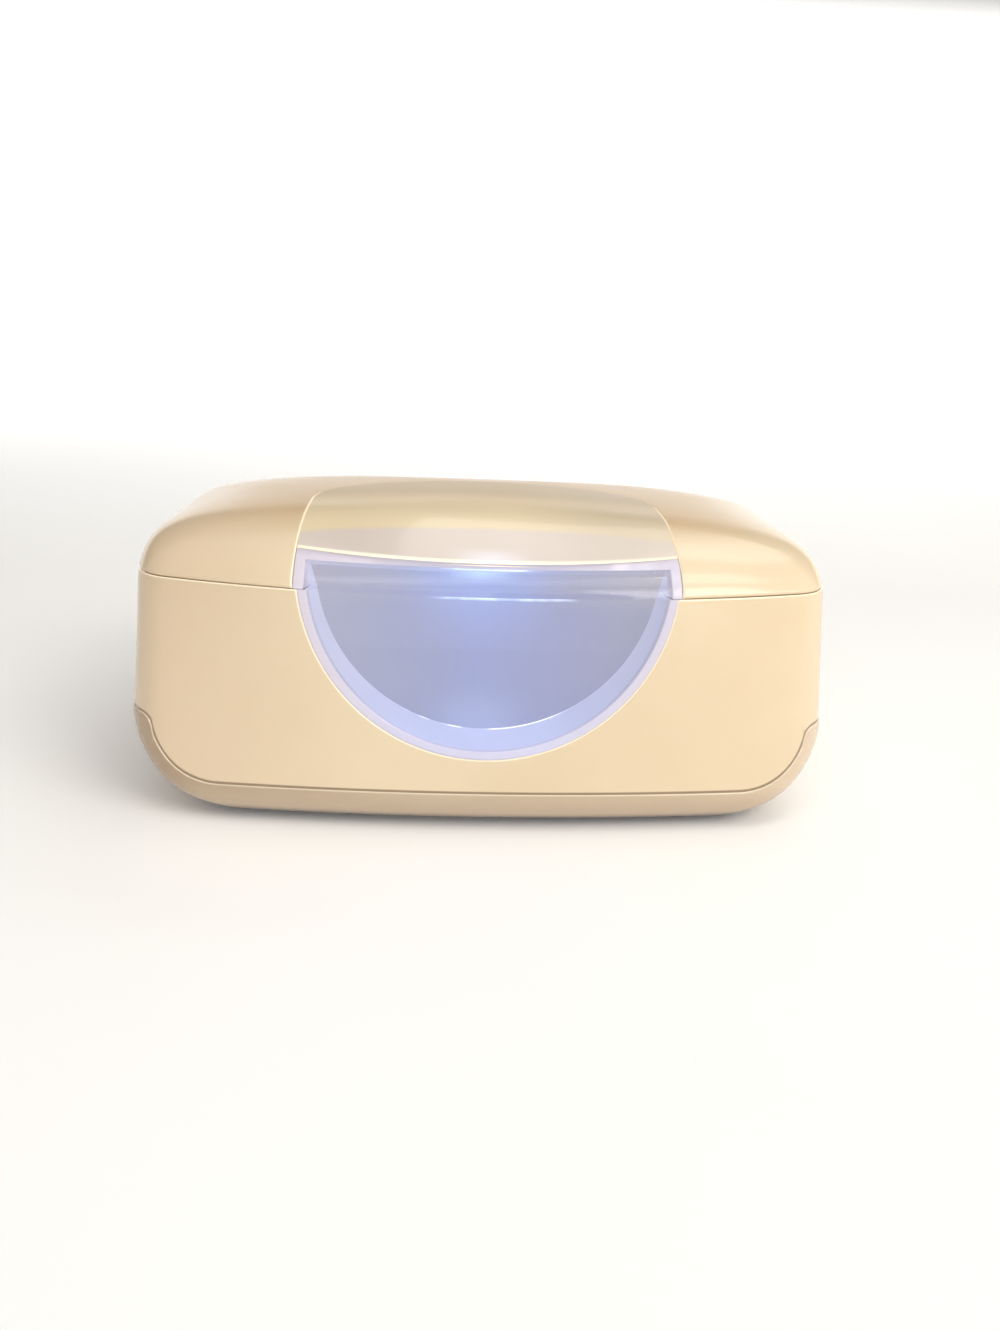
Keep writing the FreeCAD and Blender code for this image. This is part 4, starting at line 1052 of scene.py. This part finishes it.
white = plain("white_moulding", srgb(234, 234, 230), srgb(230, 230, 226), 0.32, coat=0.1, scale=24.0,
              bump=0.03)
steel = plain("plated_steel", srgb(196, 197, 200), srgb(170, 171, 176), 0.3, 1.0, 400.0, 0.1)
aluminium = plain("satin_aluminium", srgb(206, 207, 209), srgb(190, 191, 194), 0.34, 1.0, 90.0, 0.12,
                  stretch=(0.05, 1.0, 1.0))
foam = plain("foam", srgb(214, 214, 208), srgb(196, 196, 190), 0.9, scale=500.0, bump=0.5)
seal = plain("silicone", srgb(214, 214, 212), srgb(200, 200, 198), 0.55, scale=120.0, bump=0.12)
black = plain("black_plastic", srgb(26, 26, 27), srgb(36, 36, 38), 0.45, scale=200.0, bump=0.15)
rubber = plain("foot_rubber", srgb(44, 44, 45), srgb(56, 56, 57), 0.75, scale=260.0, bump=0.3)
mat = plain("heating_mat", srgb(196, 96, 52), srgb(180, 84, 44), 0.6, scale=150.0, bump=0.25)
board = plain("green_board", srgb(22, 92, 48), srgb(16, 78, 40), 0.3, scale=300.0, bump=0.1, coat=0.4)
lead = plain("lead", srgb(34, 34, 36), srgb(44, 44, 46), 0.5, scale=300.0, bump=0.1)
backing = plain("backing", srgb(232, 222, 202), srgb(224, 214, 194), 0.6, scale=80.0, bump=0.1)

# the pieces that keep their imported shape, and those of them that get a small bevel
FINISHES = {
    "tub_window": smoky, "tub": white, "lid_liner": white,
    "led_board": white, "panel_backing": backing, "tub_window_seal": seal, "lid_gasket": seal,
    "tub_insulation": foam, "heater_insulation": foam, "heater_plate": aluminium, "heater_mat": mat,
    "hinge_pin_left": steel, "hinge_pin_right": steel, "jack_pin": steel, "thermal_fuse": steel,
    "base_screws": steel, "tub_screws": steel, "board_screws": steel, "lid_screws": steel,
    "heater_screws": steel, "rubber_feet": rubber, "power_jack": black, "thermostat": black,
    "control_board": board, "supply_lead": lead, "lid_lead": lead,
    "led": glowing("night_light", srgb(214, 230, 255), 3.0),
}
SOFTENED = ("tub", "lid_liner", "lid_gasket", "power_jack", "heater_plate")

for node, finish in FINISHES.items():
    obj = frame["nodes"][node]
    obj.data.materials.clear()
    obj.data.materials.append(finish)
    if node in SOFTENED:
        soft = obj.modifiers.new("edges", "BEVEL")
        soft.width = 0.35 * MM
        soft.segments = 2
        soft.limit_method = "ANGLE"
        soft.angle_limit = math.radians(50)
        soft.harden_normals = False

# ---------------------------------------------------------------- floor, light and camera


def make_floor():
    """Pale floor that sweeps up into a backdrop far behind the object, dark above the camera's view."""
    far, bend = 3.2, 1.6
    rows = [(-6.0, 0.0), (far, 0.0)]
    for a in spread(0.0, math.pi / 2, 16)[1:]:
        rows.append((far + bend * math.sin(a), bend * (1.0 - math.cos(a))))
    rows.append((far + bend, 6.0))
    bm = bmesh.new()
    made = [[bm.verts.new((x, y, z)) for x in (-9.0, 9.0)] for y, z in rows]
    for a, b in zip(made, made[1:]):
        bm.faces.new((a[0], a[1], b[1], b[0]))
    obj = mesh_object("floor", bm, 1.0)
    smooth(obj.data)
    n = Nodes("pale_floor")
    mottle = n.between(n.noise(3.0, 3.0), 0.3, 0.7)
    high = n.between(n.place("Z"), 1.45, 1.75)
    lit = n.times(n.between(n.place("Y"), 0.10, 1.5, 0.05, 0.6), n.math("SUBTRACT", 1.0, high))
    pale = n.mix(mottle, srgb(247, 247, 246), srgb(243, 243, 242))
    finish = n.shade(Base_Color=n.mix(high, pale, srgb(74, 66, 58)), Roughness=0.7, Specular_IOR_Level=0.2,
                     Emission_Color=(1.0, 0.995, 0.985, 1.0), Emission_Strength=lit)
    obj.data.materials.append(finish)


AIM = Vector((0.0, 0.0, 0.05))


def area_light(name, at, size, power, colour):
    """Rectangular light, turned towards the object."""
    data = bpy.data.lights.new(name, "AREA")
    data.shape = "RECTANGLE"
    data.size, data.size_y = size
    data.energy = power
    data.color = colour
    obj = link_object(name, data)
    obj.location = at
    obj.rotation_mode = "QUATERNION"
    obj.rotation_quaternion = (AIM - Vector(at)).to_track_quat("-Z", "Y")


def make_lights():
    """Soft world light, brighter from the right, and four area lights."""
    world = bpy.data.worlds.new("studio")
    bpy.context.scene.world = world
    world.use_nodes = True
    back = world.node_tree.nodes["Background"]
    back.inputs["Strength"].default_value = 0.645
    tree = world.node_tree
    coords = tree.nodes.new("ShaderNodeTexCoord")
    split = tree.nodes.new("ShaderNodeSeparateXYZ")
    ramp = tree.nodes.new("ShaderNodeMapRange")
    ramp.inputs["From Min"].default_value = -1.0
    ramp.inputs["From Max"].default_value = 1.0
    ramp.inputs["To Min"].default_value = 0.45
    ramp.inputs["To Max"].default_value = 1.25
    tint = tree.nodes.new("ShaderNodeVectorMath")
    tint.operation = "SCALE"
    tint.inputs[0].default_value = (1.0, 0.985, 0.965)
    tree.links.new(coords.outputs["Generated"], split.inputs["Vector"])
    tree.links.new(split.outputs["X"], ramp.inputs["Value"])
    tree.links.new(ramp.outputs["Result"], tint.inputs["Scale"])
    tree.links.new(tint.outputs["Vector"], back.inputs["Color"])
    area_light("key", (0.95, -0.9, 1.1), (0.9, 0.7), 10.2, (1.0, 0.95, 0.88))
    area_light("fill", (-0.5, -1.4, 0.8), (1.2, 0.9), 3.0, (1.0, 0.97, 0.94))
    area_light("top", (0.15, -0.30, 1.15), (1.5, 0.35), 3.6, (1.0, 0.97, 0.93))
    area_light("back", (0.4, 1.0, 1.2), (1.2, 0.6), 3.0, (1.0, 0.97, 0.93))


def make_camera():
    """Camera a little above and nearly in front of the object."""
    at = Vector((-0.01505, -0.40824, 0.17972))
    yaw, pitch, roll = -0.0595, 0.3412, 0.0432
    forward = Vector((-math.sin(yaw) * math.cos(pitch), math.cos(yaw) * math.cos(pitch), -math.sin(pitch)))
    right = Vector((math.cos(yaw), math.sin(yaw), 0.0))
    up = right.cross(forward)
    across = right * math.cos(roll) + up * math.sin(roll)
    above = -right * math.sin(roll) + up * math.cos(roll)
    data = bpy.data.cameras.new("camera")
    data.sensor_fit = "AUTO"
    data.sensor_width = 36.0
    data.lens = 36.0 * 1001.0 / 1330.0
    data.clip_start = 0.01
    data.clip_end = 60.0
    obj = link_object("camera", data)
    turn = Matrix((across, above, -forward)).transposed()
    obj.matrix_world = Matrix.Translation(at) @ turn.to_4x4()
    bpy.context.scene.camera = obj


make_floor()
make_lights()
make_camera()
bpy.context.scene.view_settings.view_transform = "Standard"
bpy.context.scene.view_settings.look = "None"

bpy.context.view_layer.update()
